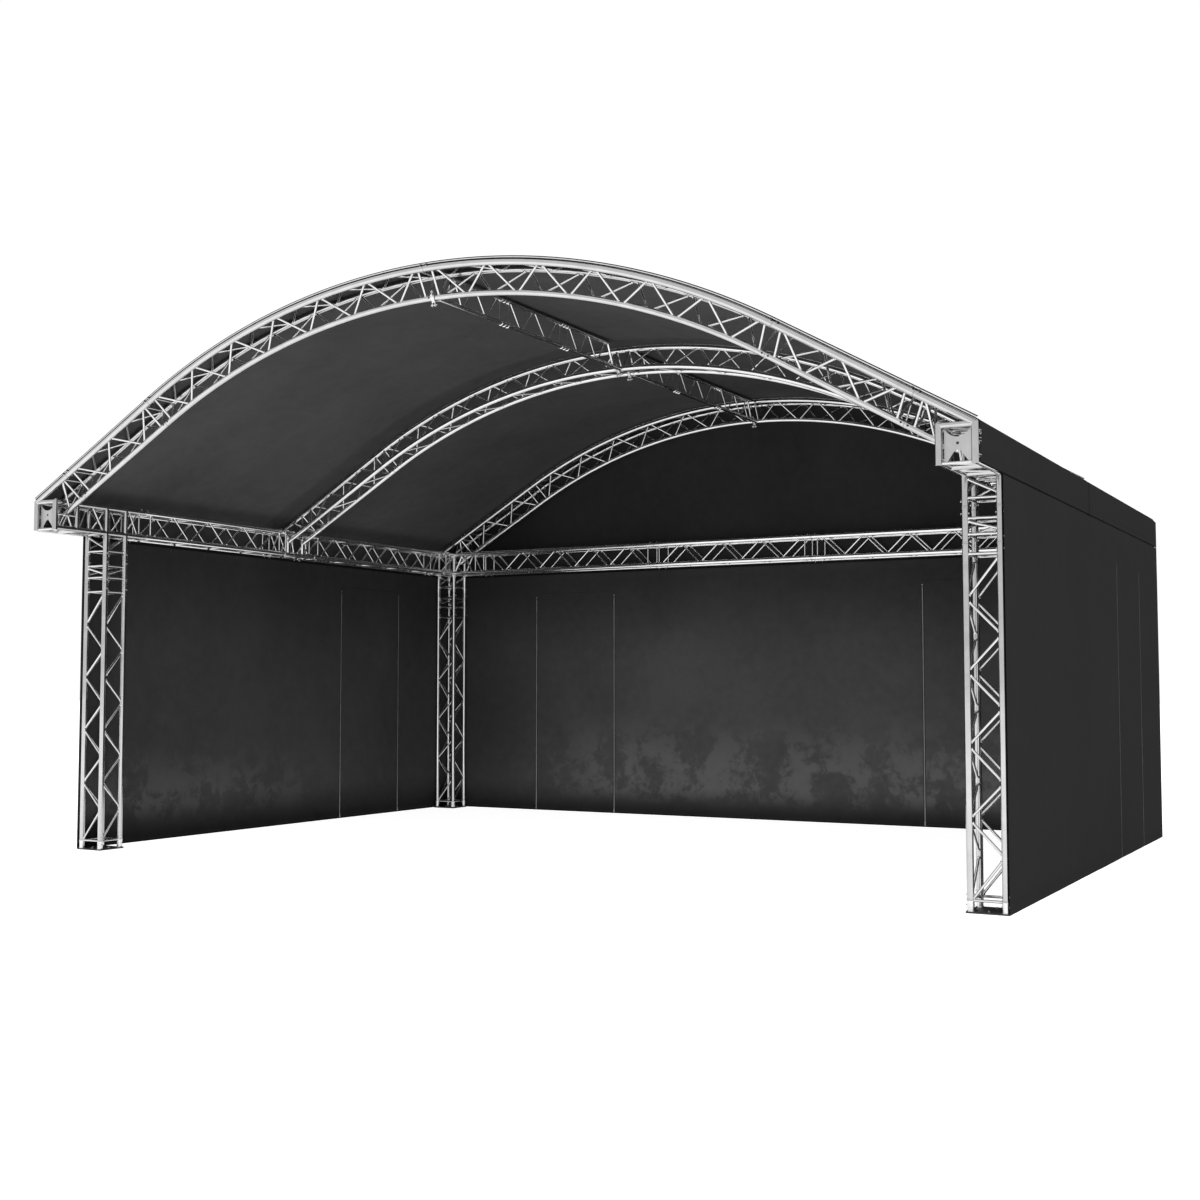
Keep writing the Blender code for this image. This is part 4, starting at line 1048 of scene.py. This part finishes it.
def ladder(name, node, y0, y1, joints):
    """Three modules with slanted end posts, held on two arch chords by half couplers."""
    low, high = line(X_LADDER, 0, Z_LADDER[0], 1), line(X_LADDER, 0, Z_LADDER[1], 1)
    r = R_LADDER
    first, last = joints
    shape = Shape()
    zc = ZC + R_ARCH - DEPTH
    ends = [(y0 + 0.0265, r * 0.9), (y0 + 0.0285, r), (y1 - 0.0285, r), (y1 - 0.0265, r * 0.9)]
    shape.tube([low(y) for y, _ in ends], [q for _, q in ends], 20, 0)
    ends = [(first - 0.800, r * 0.85), (first - 0.797, r), (last + 0.827, r), (last + 0.830, r * 0.85)]
    shape.tube([high(y) for y, _ in ends], [q for _, q in ends], 20, 0)
    for low_y, high_y in ((first - 0.885, first - 0.790), (last + 0.927, last + 0.820)):
        shape.tube([low(low_y), high(high_y)], 0.0135, 18, 5)
    for nodes in (
        [first - 0.770, first - 0.640, first - 0.471, first - 0.286, first - 0.106],
        [first + 0.072, first + 0.266, first + 0.477, first + 0.686, first + 0.894],
        [last + 0.070, last + 0.250, last + 0.431, last + 0.602, last + 0.780],
    ):
        zigzag(shape, low, high, nodes, 1, 0.012, r, r, 0.0066)
    for s in joints:
        for y in (s - 0.082, s + 0.062):
            cross(shape, low, high, y, r, r, 0.0062)
        for at in (low, high):
            for w in (-0.052, 0.0, 0.052):
                collar = [(-0.0125, r * 1.04), (-0.0110, r * 1.22), (0.0110, r * 1.22), (0.0125, r * 1.04)]
                shape.tube([at(s + w + d) for d, _ in collar], [q for _, q in collar], 20, 5)
    for y in (y0, y1):
        centre = np.array((0.012, y + Y0, zc))
        half_coupler(shape, centre, unit(np.array((1.0, 0.0, -0.012 / 5.7))), Z)
        inside = 1 if y == y0 else -1
        shape.block(P(0.026, y + inside * 0.040, Z_LADDER[0]), (0.040, 0.030, 0.030), 0.003, 2)
    place(shape, name, (LADDER, BRACE_IN_PAINTED_BRIGHTER, CAST, ZINC, PIN_HOLE_SHADE, ALU_IN_PAINTED_BRIGHTER), node)


ladder("ladder_front", "ridge_ladder_front", -0.611, 2.488, (0.386, 1.398))
ladder("ladder_back", "ridge_ladder_back", 2.728, TY, (3.716, 4.750))


# ------------------------------------------------------------------ fabric
def sheet_mesh(us, vs, at, inside, uv=None, edge_shadow=None):
    """A thin closed sheet on a grid. at(u, v, t) gives a point t through the thickness (0 inner, 1 outer).
    inside(u, v) says if a cell's middle is cloth; the last argument, if given, says if a cell's outer face takes the
    dark edge strip that paints the shadow line along an edge.
    Slots: 0 inner face, 1 outer face and rims, 2 dark edge strip with painted shadow."""
    nu, nv = len(us), len(vs)
    uv = uv or (lambda u, v: (u, v))
    shape = Shape()
    index = {}
    points, faces, uvs, slots = [], [], [], []

    def corner(i, j, t):
        key = (i, j, t)
        if key not in index:
            index[key] = len(points)
            points.append(at(us[i], vs[j], t))
        return index[key]

    cell = [[inside(0.5 * (us[i] + us[i + 1]), 0.5 * (vs[j] + vs[j + 1])) for j in range(nv - 1)] for i in range(nu - 1)]
    for i in range(nu - 1):
        for j in range(nv - 1):
            if not cell[i][j]:
                continue
            loop = [(i, j), (i + 1, j), (i + 1, j + 1), (i, j + 1)]
            edge_shadow_slot = 2 if edge_shadow and edge_shadow(0.5 * (us[i] + us[i + 1]), 0.5 * (vs[j] + vs[j + 1])) else 1
            faces.append([corner(a, b, 1) for a, b in loop])
            uvs.append([uv(us[a], vs[b]) for a, b in loop])
            slots.append(edge_shadow_slot)
            faces.append([corner(a, b, 0) for a, b in reversed(loop)])
            uvs.append([uv(us[a], vs[b]) for a, b in reversed(loop)])
            slots.append(0)
            for (a, b), (c, d), (ni, nj) in (((i, j), (i + 1, j), (i, j - 1)), ((i + 1, j), (i + 1, j + 1), (i + 1, j)),
                                            ((i + 1, j + 1), (i, j + 1), (i, j + 1)), ((i, j + 1), (i, j), (i - 1, j))):
                open_side = ni < 0 or nj < 0 or ni >= nu - 1 or nj >= nv - 1 or not cell[ni][nj]
                if open_side:
                    faces.append([corner(a, b, 0), corner(c, d, 0), corner(c, d, 1), corner(a, b, 1)])
                    p, q = uv(us[a], vs[b]), uv(us[c], vs[d])
                    uvs.append([p, q, (q[0] + 0.003, q[1]), (p[0] + 0.003, p[1])])
                    slots.append(edge_shadow_slot)
    shape.add(points, faces, uvs, slots)
    return shape


def spread(stops, pitch):
    """Grid lines that pass every stop, at most pitch apart."""
    made = []
    for a, b in zip(stops, stops[1:]):
        n = max(1, math.ceil((b - a) / pitch - 1e-6))
        made += [a + (b - a) * k / n for k in range(n)]
    return made + [stops[-1]]


def around_edge(a, b, hem):
    """Grid lines that draw a folded hem's edge at a and b."""
    return [a, a + 0.0015, a + hem - 0.0015, a + hem], [b - hem, b - hem + 0.0015, b - 0.0015, b]


def ripple(u, v, seed, low=0.0):
    """A small smooth outward lift of hung cloth, 0 to 1."""
    n = noise.noise(Vector((u * 1.1 + seed, v * 0.45, seed * 1.7))) * 0.6 + noise.noise(Vector((u * 3.1, v * 0.8 + seed, 3.1))) * 0.4
    return max(0.0, min(1.0, 0.5 + n))


def step01(x, a, b):
    t = max(0.0, min(1.0, (x - a) / (b - a)))
    return t * t * (3 - 2 * t)


def wall_surface(base, across, out, seed, edges, hems):
    """at(u, v, t) for a wall: u along it, v up. edges: u of the zips, where the cloth lies flat."""
    u_low, u_high = hems

    def at(u, v, t):
        flat = min([abs(u - e) for e in edges] + [9.0])
        calm = step01(flat, 0.02, 0.25) * step01(Z_SPLIT - v, 0.02, 0.5)
        lift = 0.0035 * ripple(u, v, seed) * calm
        hem = v < Z_HEM + 0.055 or v > Z_SPLIT - 0.052 or u < u_low + 0.050 or u > u_high - 0.050
        inner = 0.0 if hem else 0.0006
        outer = 0.0030 if hem else 0.0018
        depth = lift + (outer if t else inner)
        return base(u, v) + out * depth
    return at


def wall(name, node, a0, a1, doors, base, out, seed, look_in):
    zips = [e for d in doors for e in d]
    stops = sorted({a0, a0 + 0.0488, a0 + 0.0512, a1 - 0.0512, a1 - 0.0488, a1, *zips})
    us = spread(stops, 0.07)
    vs = spread([Z_HEM, Z_HEM + 0.0538, Z_HEM + 0.0562, Z_FLAP, Z_SPLIT - 0.0532, Z_SPLIT - 0.0508, Z_SPLIT - 0.002], 0.09)
    at = wall_surface(base, None, out, seed, zips, (a0, a1))

    def inside(u, v):
        return not any(d0 < u < d1 and v < Z_FLAP for d0, d1 in doors)

    shape = sheet_mesh(us, vs, at, inside)
    made = place(shape, name, (look_in, WALL_OUT), node, slot="wall_cloth", smooth=60.0)
    return made


def side_base(side):
    return lambda u, v: P(side * X_WALL, u, v)


def back_base(u, v):
    return P(u, Y_WALL, v)


def door(name, body, node, d0, d1, base, out, seed, look_in):
    """A flap between two zips; its top is one with the wall, and its rows lie close together below the hinge line."""
    g = 0.0003
    us = spread([d0 + g, d1 - g], 0.07)
    vs = spread([Z_HEM, Z_HEM + 0.0538, Z_HEM + 0.0562, 2.60], 0.09)[:-1] + spread([2.60, Z_FLAP], 0.008) + [Z_FLAP + 0.0005, Z_FLAP + 0.003]

    def at(u, v, t):
        flat = min(u - d0, d1 - u)
        lift = 0.0035 * ripple(u, v, seed) * step01(flat, 0.02, 0.25) * step01(2.60 - v, 0.0, 0.5)
        hem = v < Z_HEM + 0.055
        if v > Z_FLAP:
            return base(u, v) + out * (0.0014 if t else 0.0010)
        return base(u, v) + out * (lift + ((0.0030 if hem else 0.0018) if t else (0.0 if hem else 0.0006)))

    shape = sheet_mesh(us, vs, at, lambda u, v: True)
    made = place(shape, name, (look_in, WALL_OUT), node, body=None, slot="door_cloth", smooth=60.0)
    middle = base((d0 + d1) / 2, DOOR_H)
    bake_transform(made)
    return made


def zip_half(shape, edge, inward, base, out, z0, z1, across):
    """One side of a zip: woven tape on the inner face, a row of teeth, and a low ridge outside."""
    a = edge + inward * 0.0004
    b = edge + inward * 0.0135
    lo, hi = min(a, b), max(a, b)
    mid = base((lo + hi) / 2, (z0 + z1) / 2)
    size = hi - lo
    shape.block(mid + out * 0.00005, (size, 0.0009, z1 - z0), 0.0003, 0, (across, out, Z), 1)
    shape.block(mid + out * 0.0022, (size, 0.0009, z1 - z0), 0.0003, 0, (across, out, Z), 1)
    tooth = base(edge + inward * 0.0030, (z0 + z1) / 2)
    shape.block(tooth - out * 0.0005, (0.0056, 0.0014, z1 - z0), 0.0005, 1, (across, out, Z), 1)
    shape.block(tooth + out * 0.0029, (0.0056, 0.0012, z1 - z0), 0.0005, 2, (across, out, Z), 1)


def zip_teeth_look(name, dark, light, metal=0.35, pitch=0.005):
    """The zip's coil: bright teeth with dark gaps between them along its length."""
    look = Look(name, Metallic=metal)
    look.bsdf.inputs["Specular IOR Level"].default_value = 0.5 if metal else 0.05
    height = look.node("ShaderNodeSeparateXYZ", {0: look.at("Object", (1.0, 1.0, 1.0))}).outputs[2]
    teeth = look.math("SINE", look.math("MULTIPLY", height, 2 * math.pi / pitch))
    tone = look.fit(teeth, -0.6, 0.4)
    wear = look.cloud(look.at("Object", (1.0, 1.0, 1.0)), 6.0, 4.0)
    colour = look.mix(look.math("MULTIPLY", tone, look.fit(wear, 0.3, 0.7, 0.7, 1.0)), grey(dark), grey(light))
    return look.drive(Base_Color=colour, Roughness=look.fit(wear, 0.3, 0.7, 0.35, 0.55), Normal=look.bump(tone, 0.0008, 0.6))


TEETH_IN = zip_teeth_look("zip_teeth_inside", 0.05, 0.42)
TEETH_OUT = zip_teeth_look("zip_teeth_outside", 0.020, 0.040, 0.0)


def zips(tag, doors, base, out, across, bodies):
    """Both halves of each zip: one on the wall, one on its flap."""
    on_wall = Shape()
    for (d0, d1), body in zip(doors, bodies):
        on_door = Shape()
        for edge, inward in ((d0, 1.0), (d1, -1.0)):
            zip_half(on_door, edge, inward, base, out, 0.010, 2.636, across)
            zip_half(on_wall, edge, -inward, base, out, 0.010, 2.668, across)
            stop = base(edge, 2.672)
            on_wall.block(stop - out * 0.0010, (0.014, 0.0026, 0.008), 0.0008, 3, (across, out, Z))
        place(on_door, f"zip_{body}", (TAPE, TEETH_IN, TEETH_OUT, ZIP_METAL), body=body, slot="zip_metal")
    place(on_wall, f"zip_wall_{tag}", (TAPE, TEETH_IN, TEETH_OUT, ZIP_METAL), slot="zip_metal")


def slider(name, edge, base, out, across):
    """Slider body round the teeth, with a bridge and a hanging pull tab."""
    shape = Shape()
    face = base(edge, 0.0)
    work = bmesh.new()
    bmesh.ops.create_cube(work, size=1.0, matrix=Matrix.Diagonal((0.0115, 0.0040, 0.024, 1.0)))
    for v in work.verts:
        if v.co.z < 0:
            v.co.x *= 0.62
    bmesh.ops.bevel(work, geom=work.edges[:], offset=0.0012, segments=2, profile=0.5, affect="EDGES")
    turn = Matrix([[float((across, out, Z)[c][r]) for c in range(3)] for r in range(3)]).to_4x4()
    shape.take(work, 0, Matrix.Translation([float(c) for c in face - out * 0.0037 + Z * 0.049]) @ turn)
    arch = [face - out * (0.0055 + 0.0028 * math.sin(math.pi * k / 6)) + Z * (0.041 + 0.016 * k / 6) for k in range(7)]
    shape.tube(arch, 0.0011, 8, 0, ref=across)
    ring = face - out * 0.0078 + Z * 0.0435
    shape.ring_of(ring - Z * 0.0045, out, 0.0042, 0.0010, 20, 0, 8)
    shape.block(face - out * 0.0078 + Z * 0.0315, (0.0075, 0.0016, 0.0165), 0.0008, 0, (across, out, Z))
    shape.ring_of(face - out * 0.0078 + Z * 0.0260, out, 0.0022, 0.0009, 16, 0, 6)
    place(shape, f"{name}_metal", (ZIP_METAL,), name, body=name, slot="zip_metal")


def sides_at(side):
    return np.array((float(side), 0.0, 0.0))


for tag, side, doors, look in (("left", -1, DOORS_LEFT, WALL_LEFT_IN), ("right", 1, DOORS_RIGHT, WALL_RIGHT_IN)):
    base, out = side_base(side), sides_at(side)
    wall(f"cloth_wall_{tag}", f"wall_{tag}", -0.15, Y_END, [doors], base, out, 3.0 * side, look)
    door(f"cloth_door_{tag}", f"door_{tag}", f"door_{tag}", *doors, base, out, 3.0 * side, look)
    zips(tag, [doors], base, out, Y, [f"door_{tag}"])
    slider(f"zip_slider_{tag}_front", doors[0], base, out, Y)
    slider(f"zip_slider_{tag}_back", doors[1], base, out, Y)
wall("cloth_wall_back", "wall_back", -X_WALL + 0.004, X_WALL - 0.004, list(DOORS_BACK), back_base, Y, 11.0, WALL_BACK_IN)
for k, tag in enumerate(("left", "right")):
    door(f"cloth_door_back_{tag}", f"door_back_{tag}", f"door_back_{tag}", *DOORS_BACK[k], back_base, Y, 11.0, WALL_BACK_IN)
    slider(f"zip_slider_back_{tag}_1", DOORS_BACK[k][0], back_base, Y, X)
    slider(f"zip_slider_back_{tag}_2", DOORS_BACK[k][1], back_base, Y, X)
zips("back", list(DOORS_BACK), back_base, Y, X, ["door_back_left", "door_back_right"])


# ------------------------------------------------------------------ canopy and gable
def canopy_profile(pitch=0.09):
    """Points (x, z), outward normal and length along the inner face, from the left hem over the crown to the right hem."""
    r = R_ARCH + V_CANOPY
    half = [(r * math.sin(t), ZC + r * math.cos(t)) for t in np.linspace(0, A_ARCH, 36)]
    x, z = half[-1]
    t = (X_WALL - x) / math.cos(A_ARCH)
    eave = np.array((X_WALL, z - t * math.sin(A_ARCH)))
    slope = np.array((math.cos(A_ARCH), -math.sin(A_ARCH)))
    fold = 0.009
    start, stop = eave - slope * fold, eave - np.array((0, fold))
    n = max(2, int((t - fold) / pitch))
    half += [tuple(np.array((x, z)) + slope * (t - fold) * k / n) for k in range(1, n + 1)]
    for k in range(1, 6):
        s = k / 6
        half.append(tuple((1 - s) ** 2 * start + 2 * s * (1 - s) * eave + s ** 2 * stop))
    low = Z_SPLIT + 0.002
    half += [(X_WALL, zz) for zz in spread([low, low + 0.011, low + 0.0488, low + 0.0512, stop[1]], 0.06)[::-1]]
    line2 = [(-a, b) for a, b in reversed(half)] + half[1:]
    pts = np.array(line2)
    tangent = np.gradient(pts, axis=0)
    tangent /= np.linalg.norm(tangent, axis=1)[:, None]
    normal = np.stack([-tangent[:, 1], tangent[:, 0]], 1)
    length = np.concatenate([[0.0], np.cumsum(np.linalg.norm(np.diff(pts, axis=0), axis=1))])
    return pts, normal, length, stop[1] - low


def canopy(name, node, y0, y1, rear, taut):
    """One bay. The front bay's valances run on past its keder edge and lap over the rear bay's."""
    pts, normal, length, drop = canopy_profile()
    lap = 0.0 if rear else 0.0864
    vs = spread([y0, y0 + 0.022, y0 + 0.024, y1 - 0.024, y1 - 0.022, y1] if not rear else
                [y0, y0 + 0.022, y0 + 0.024, 5.70, y1 - 0.0512, y1 - 0.0488, y1], 0.13)
    if lap:
        vs += [y1 + 0.0030, y1 + 0.040, y1 + lap - 0.013, y1 + lap - 0.0125, y1 + lap]
    us = list(range(len(pts)))
    total = length[-1]

    def at(u, v, t):
        i = int(round(u))
        p, n = pts[i], normal[i]
        hem = v < y0 + 0.023 or v > y1 - (0.050 if rear else 0.023) or length[i] < 0.050 or length[i] > total - 0.050
        if v > y1 + 0.001:
            edge = 0.0010 if v > y1 + lap - 0.0128 else 0.0
            q = p + n * (0.0052 + edge if t else 0.0034)
            return P(q[0], v, q[1])
        flat = step01(min(abs(v - k) for k in taut), 0.05, 0.9)
        over = step01(length[i], 0.34, 1.4) * step01(total - length[i], 0.34, 1.4)
        sag = -0.010 * flat * over
        sag += 0.0018 * (ripple(length[i], v, 5.0 if rear else 2.0) - 0.5) * step01(min(abs(v - k) for k in taut), 0.03, 0.3)
        depth = sag + ((0.0030 if hem else 0.0020) if t else (0.0 if hem else 0.0006))
        q = p + n * depth
        z = q[1]
        if rear:
            z -= 0.016 * step01(v, 5.89, Y_END) * step01(abs(q[0]), 4.1, 4.38) * step01(q[1], 3.10, 3.25)
        return P(q[0], v, z)

    def inside(u, v):
        l = 0.5 * (length[int(u)] + length[int(u) + 1])
        return v < y1 or min(l, total - l) < drop

    # Cells at the hems' edges and the lap's end take the dark strip, painted shadow along those edges.
    def edge_shadow(u, v):
        l = 0.5 * (length[int(u)] + length[int(u) + 1])
        return min(l, total - l) < 0.011 or v > y1 + lap - 0.021 > y1

    shape = sheet_mesh(us, vs, at, inside, uv=lambda u, v: (length[int(round(u))], v), edge_shadow=edge_shadow)
    made = place(shape, name, (CANOPY_IN, CANOPY_OUT, HEM_EDGE_SHADOW), node, slot="canopy_cloth", smooth=60.0)


canopy("cloth_canopy_front", "canopy_front", -0.7262, 2.6036, False, (-0.73, -0.49, 2.60))
canopy("cloth_canopy_back", "canopy_back", 2.6124, Y_END, True, (2.61, 5.70, 5.95))


def gable_top(x):
    x = abs(x)
    r = R_ARCH + V_CANOPY - 0.003
    if x <= r * math.sin(A_ARCH):
        return ZC + math.sqrt(r * r - x * x)
    return ZC + r * math.cos(A_ARCH) - (x - r * math.sin(A_ARCH)) * math.tan(A_ARCH)


def gable():
    half = X_WALL - 0.004
    us = spread([-half, -half + 0.0488, -half + 0.0512, 0.0, half - 0.0512, half - 0.0488, half], 0.09)
    low = Z_SPLIT + 0.002
    vs = [0.0, 0.0488, 0.0512, *[0.0512 + (1 - 0.0512) * k / 14 for k in range(1, 15)]]

    def at(u, v, t):
        top = gable_top(u) - 0.006 * step01(abs(u), 4.2, half)
        z = low + v if v < 0.052 else low + 0.0512 + (top - low - 0.0512) * (v - 0.0512) / (1 - 0.0512)
        hem = v < 0.050 or abs(u) > half - 0.050
        calm = step01(z - low, 0.02, 0.4) * step01(top - z, 0.05, 0.3)
        lift = 0.003 * ripple(u, z, 7.0) * calm
        return P(u, Y_WALL, z) + Y * (lift + ((0.0030 if hem else 0.0018) if t else (0.0 if hem else 0.0006)))

    shape = sheet_mesh(us, vs, at, lambda u, v: True, uv=lambda u, v: (u, low + v * (gable_top(u) - low)))
    made = place(shape, "cloth_gable", (GABLE_IN, WALL_OUT), "back_gable", slot="canopy_cloth", smooth=60.0)
    area = sum((us[i + 1] - us[i]) * (0.5 * (gable_top(us[i]) + gable_top(us[i + 1])) - low) for i in range(len(us) - 1))


gable()

# inner flaps that close the gap between the walls and what hangs above them
shape = Shape()
shape.block(P(0.0, Y_WALL - 0.0012, Z_SPLIT + 0.001), (8.770, 0.0007, 0.044), 0.0002, 0)
for side in (-1, 1):
    shape.block(P(side * (X_WALL - 0.0012), 2.910, Z_SPLIT + 0.001), (0.0007, 6.120, 0.044), 0.0002, 0)
place(shape, "cloth_gap_flaps", (CORD,), slot="wall_cloth")
for tag, side in (("left", -1), ("right", 1)):
    seam_cover(f"cloth_seam_cover_{tag}", 2.608, side)

# lacing toggles at each valance's front edge
for tag, side in (("left", -1), ("right", 1)):
    toggles = Shape()
    for z in (3.030, 3.120, 3.140, 3.166, 3.176, 3.192):
        p = P(side * (X_WALL + 0.0030), -0.7205, z)
        toggles.tube([p + Y * 0.012, p + sides_at(side) * 0.0022 + Y * 0.006, p + sides_at(side) * 0.0022 - Y * 0.004,
                      P(side * (TX + S + 0.0245), -0.736, z + 0.001)], 0.0020, 8, 0)
        toggles.block(p + Y * 0.010 + sides_at(side) * 0.0008, (0.0024, 0.010, 0.007), 0.0008, 0)
    place(toggles, f"toggles_{tag}", (ZIP_METAL,))

# webbing loops from the wall tops round the outer low chords
for tag, side in (("left", -1), ("right", 1)):
    shape = Shape()
    for k in range(12):
        y = 0.02 + 0.49 * k
        if min(abs(y - j) for j in (Y_B1, Y_B2, Y_B3, Y_B4)) < 0.10:
            y += 0.16
        centre = P(side * (TX + S), y, ZB)
        loop = [centre + (RC + 0.0022) * (math.cos(q) * X + math.sin(q) * Z) for q in np.arange(28) * 2 * math.pi / 28]
        outline = [(-0.0125, -0.0008), (0.0125, -0.0008), (0.0125, 0.0008), (-0.0125, 0.0008)]
        rings = np.array([c + np.array([a * Y + b * unit(c - centre) for a, b in outline]) for c in loop])
        shape.rings(rings[::-1], np.array((0, 0.025, 0.0266, 0.0516, 0.0532)), np.arange(29) * 0.006, 0, closed=True)
        shape.block(P(side * (X_WALL + 0.0002), y, Z_SPLIT - 0.030), (0.0012, 0.026, 0.056), 0.0004, 0)
    place(shape, f"ties_{tag}", (STRAP,), slot="wall_cloth")

# ------------------------------------------------------------------ floor, sky and lamps
def floor_look():
    look = Look("studio_floor", Metallic=0.0)
    look.bsdf.inputs["Specular IOR Level"].default_value = 0.0
    look.bsdf.inputs["Roughness"].default_value = 0.9
    shade = look.cloud(look.at("Object", (1.0, 1.0, 1.0)), 0.4, 2.0)
    look.bsdf.inputs["Emission Color"].default_value = grey(1.0)
    look.bsdf.inputs["Emission Strength"].default_value = 0.91
    return look.drive(Base_Color=look.mix(shade, grey(0.70), grey(0.72)))


floor_mesh = bpy.data.meshes.new("floor")
floor_mesh.from_pydata([(-150, -150, 0), (150, -150, 0), (150, 150, 0), (-150, 150, 0)], [], [(0, 1, 2, 3)])
floor_mesh.materials.append(floor_look())
floor = bpy.data.objects.new("floor", floor_mesh)
bpy.context.scene.collection.objects.link(floor)

world = bpy.data.worlds.new("studio")
bpy.context.scene.world = world
world.use_nodes = True
tree = world.node_tree
tree.nodes.clear()
coords = tree.nodes.new("ShaderNodeTexCoord")
split = tree.nodes.new("ShaderNodeSeparateXYZ")
fade = tree.nodes.new("ShaderNodeMapRange")
fade.inputs[1].default_value, fade.inputs[2].default_value = 0.45, 0.95
fade.inputs[3].default_value, fade.inputs[4].default_value = 1.03, 0.95
ground = tree.nodes.new("ShaderNodeBackground")
out = tree.nodes.new("ShaderNodeOutputWorld")
tree.links.new(coords.outputs["Generated"], split.inputs[0])
tree.links.new(split.outputs[2], fade.inputs[0])
tree.links.new(fade.outputs[0], ground.inputs[1])
tree.links.new(ground.outputs[0], out.inputs[0])
ground.inputs[0].default_value = grey(1.0)


def lamp(name, at, aim, size, power):
    data = bpy.data.lights.new(name, "AREA")
    data.shape = "RECTANGLE"
    data.size, data.size_y = size
    data.energy = power
    made = bpy.data.objects.new(name, data)
    made.location = at
    made.rotation_euler = (Vector(aim) - Vector(at)).to_track_quat("-Z", "Y").to_euler()
    made.visible_glossy = False
    bpy.context.scene.collection.objects.link(made)
    return made


lamp("key", (9.0, -13.0, 7.5), (0.0, 0.0, 2.6), (6.0, 4.0), 160.0)
lamp("fill", (-10.0, -11.0, 5.0), (0.0, 0.0, 2.5), (5.0, 5.0), 90.0)

bpy.context.scene.view_settings.view_transform = "Standard"
bpy.context.scene.view_settings.look = "None"
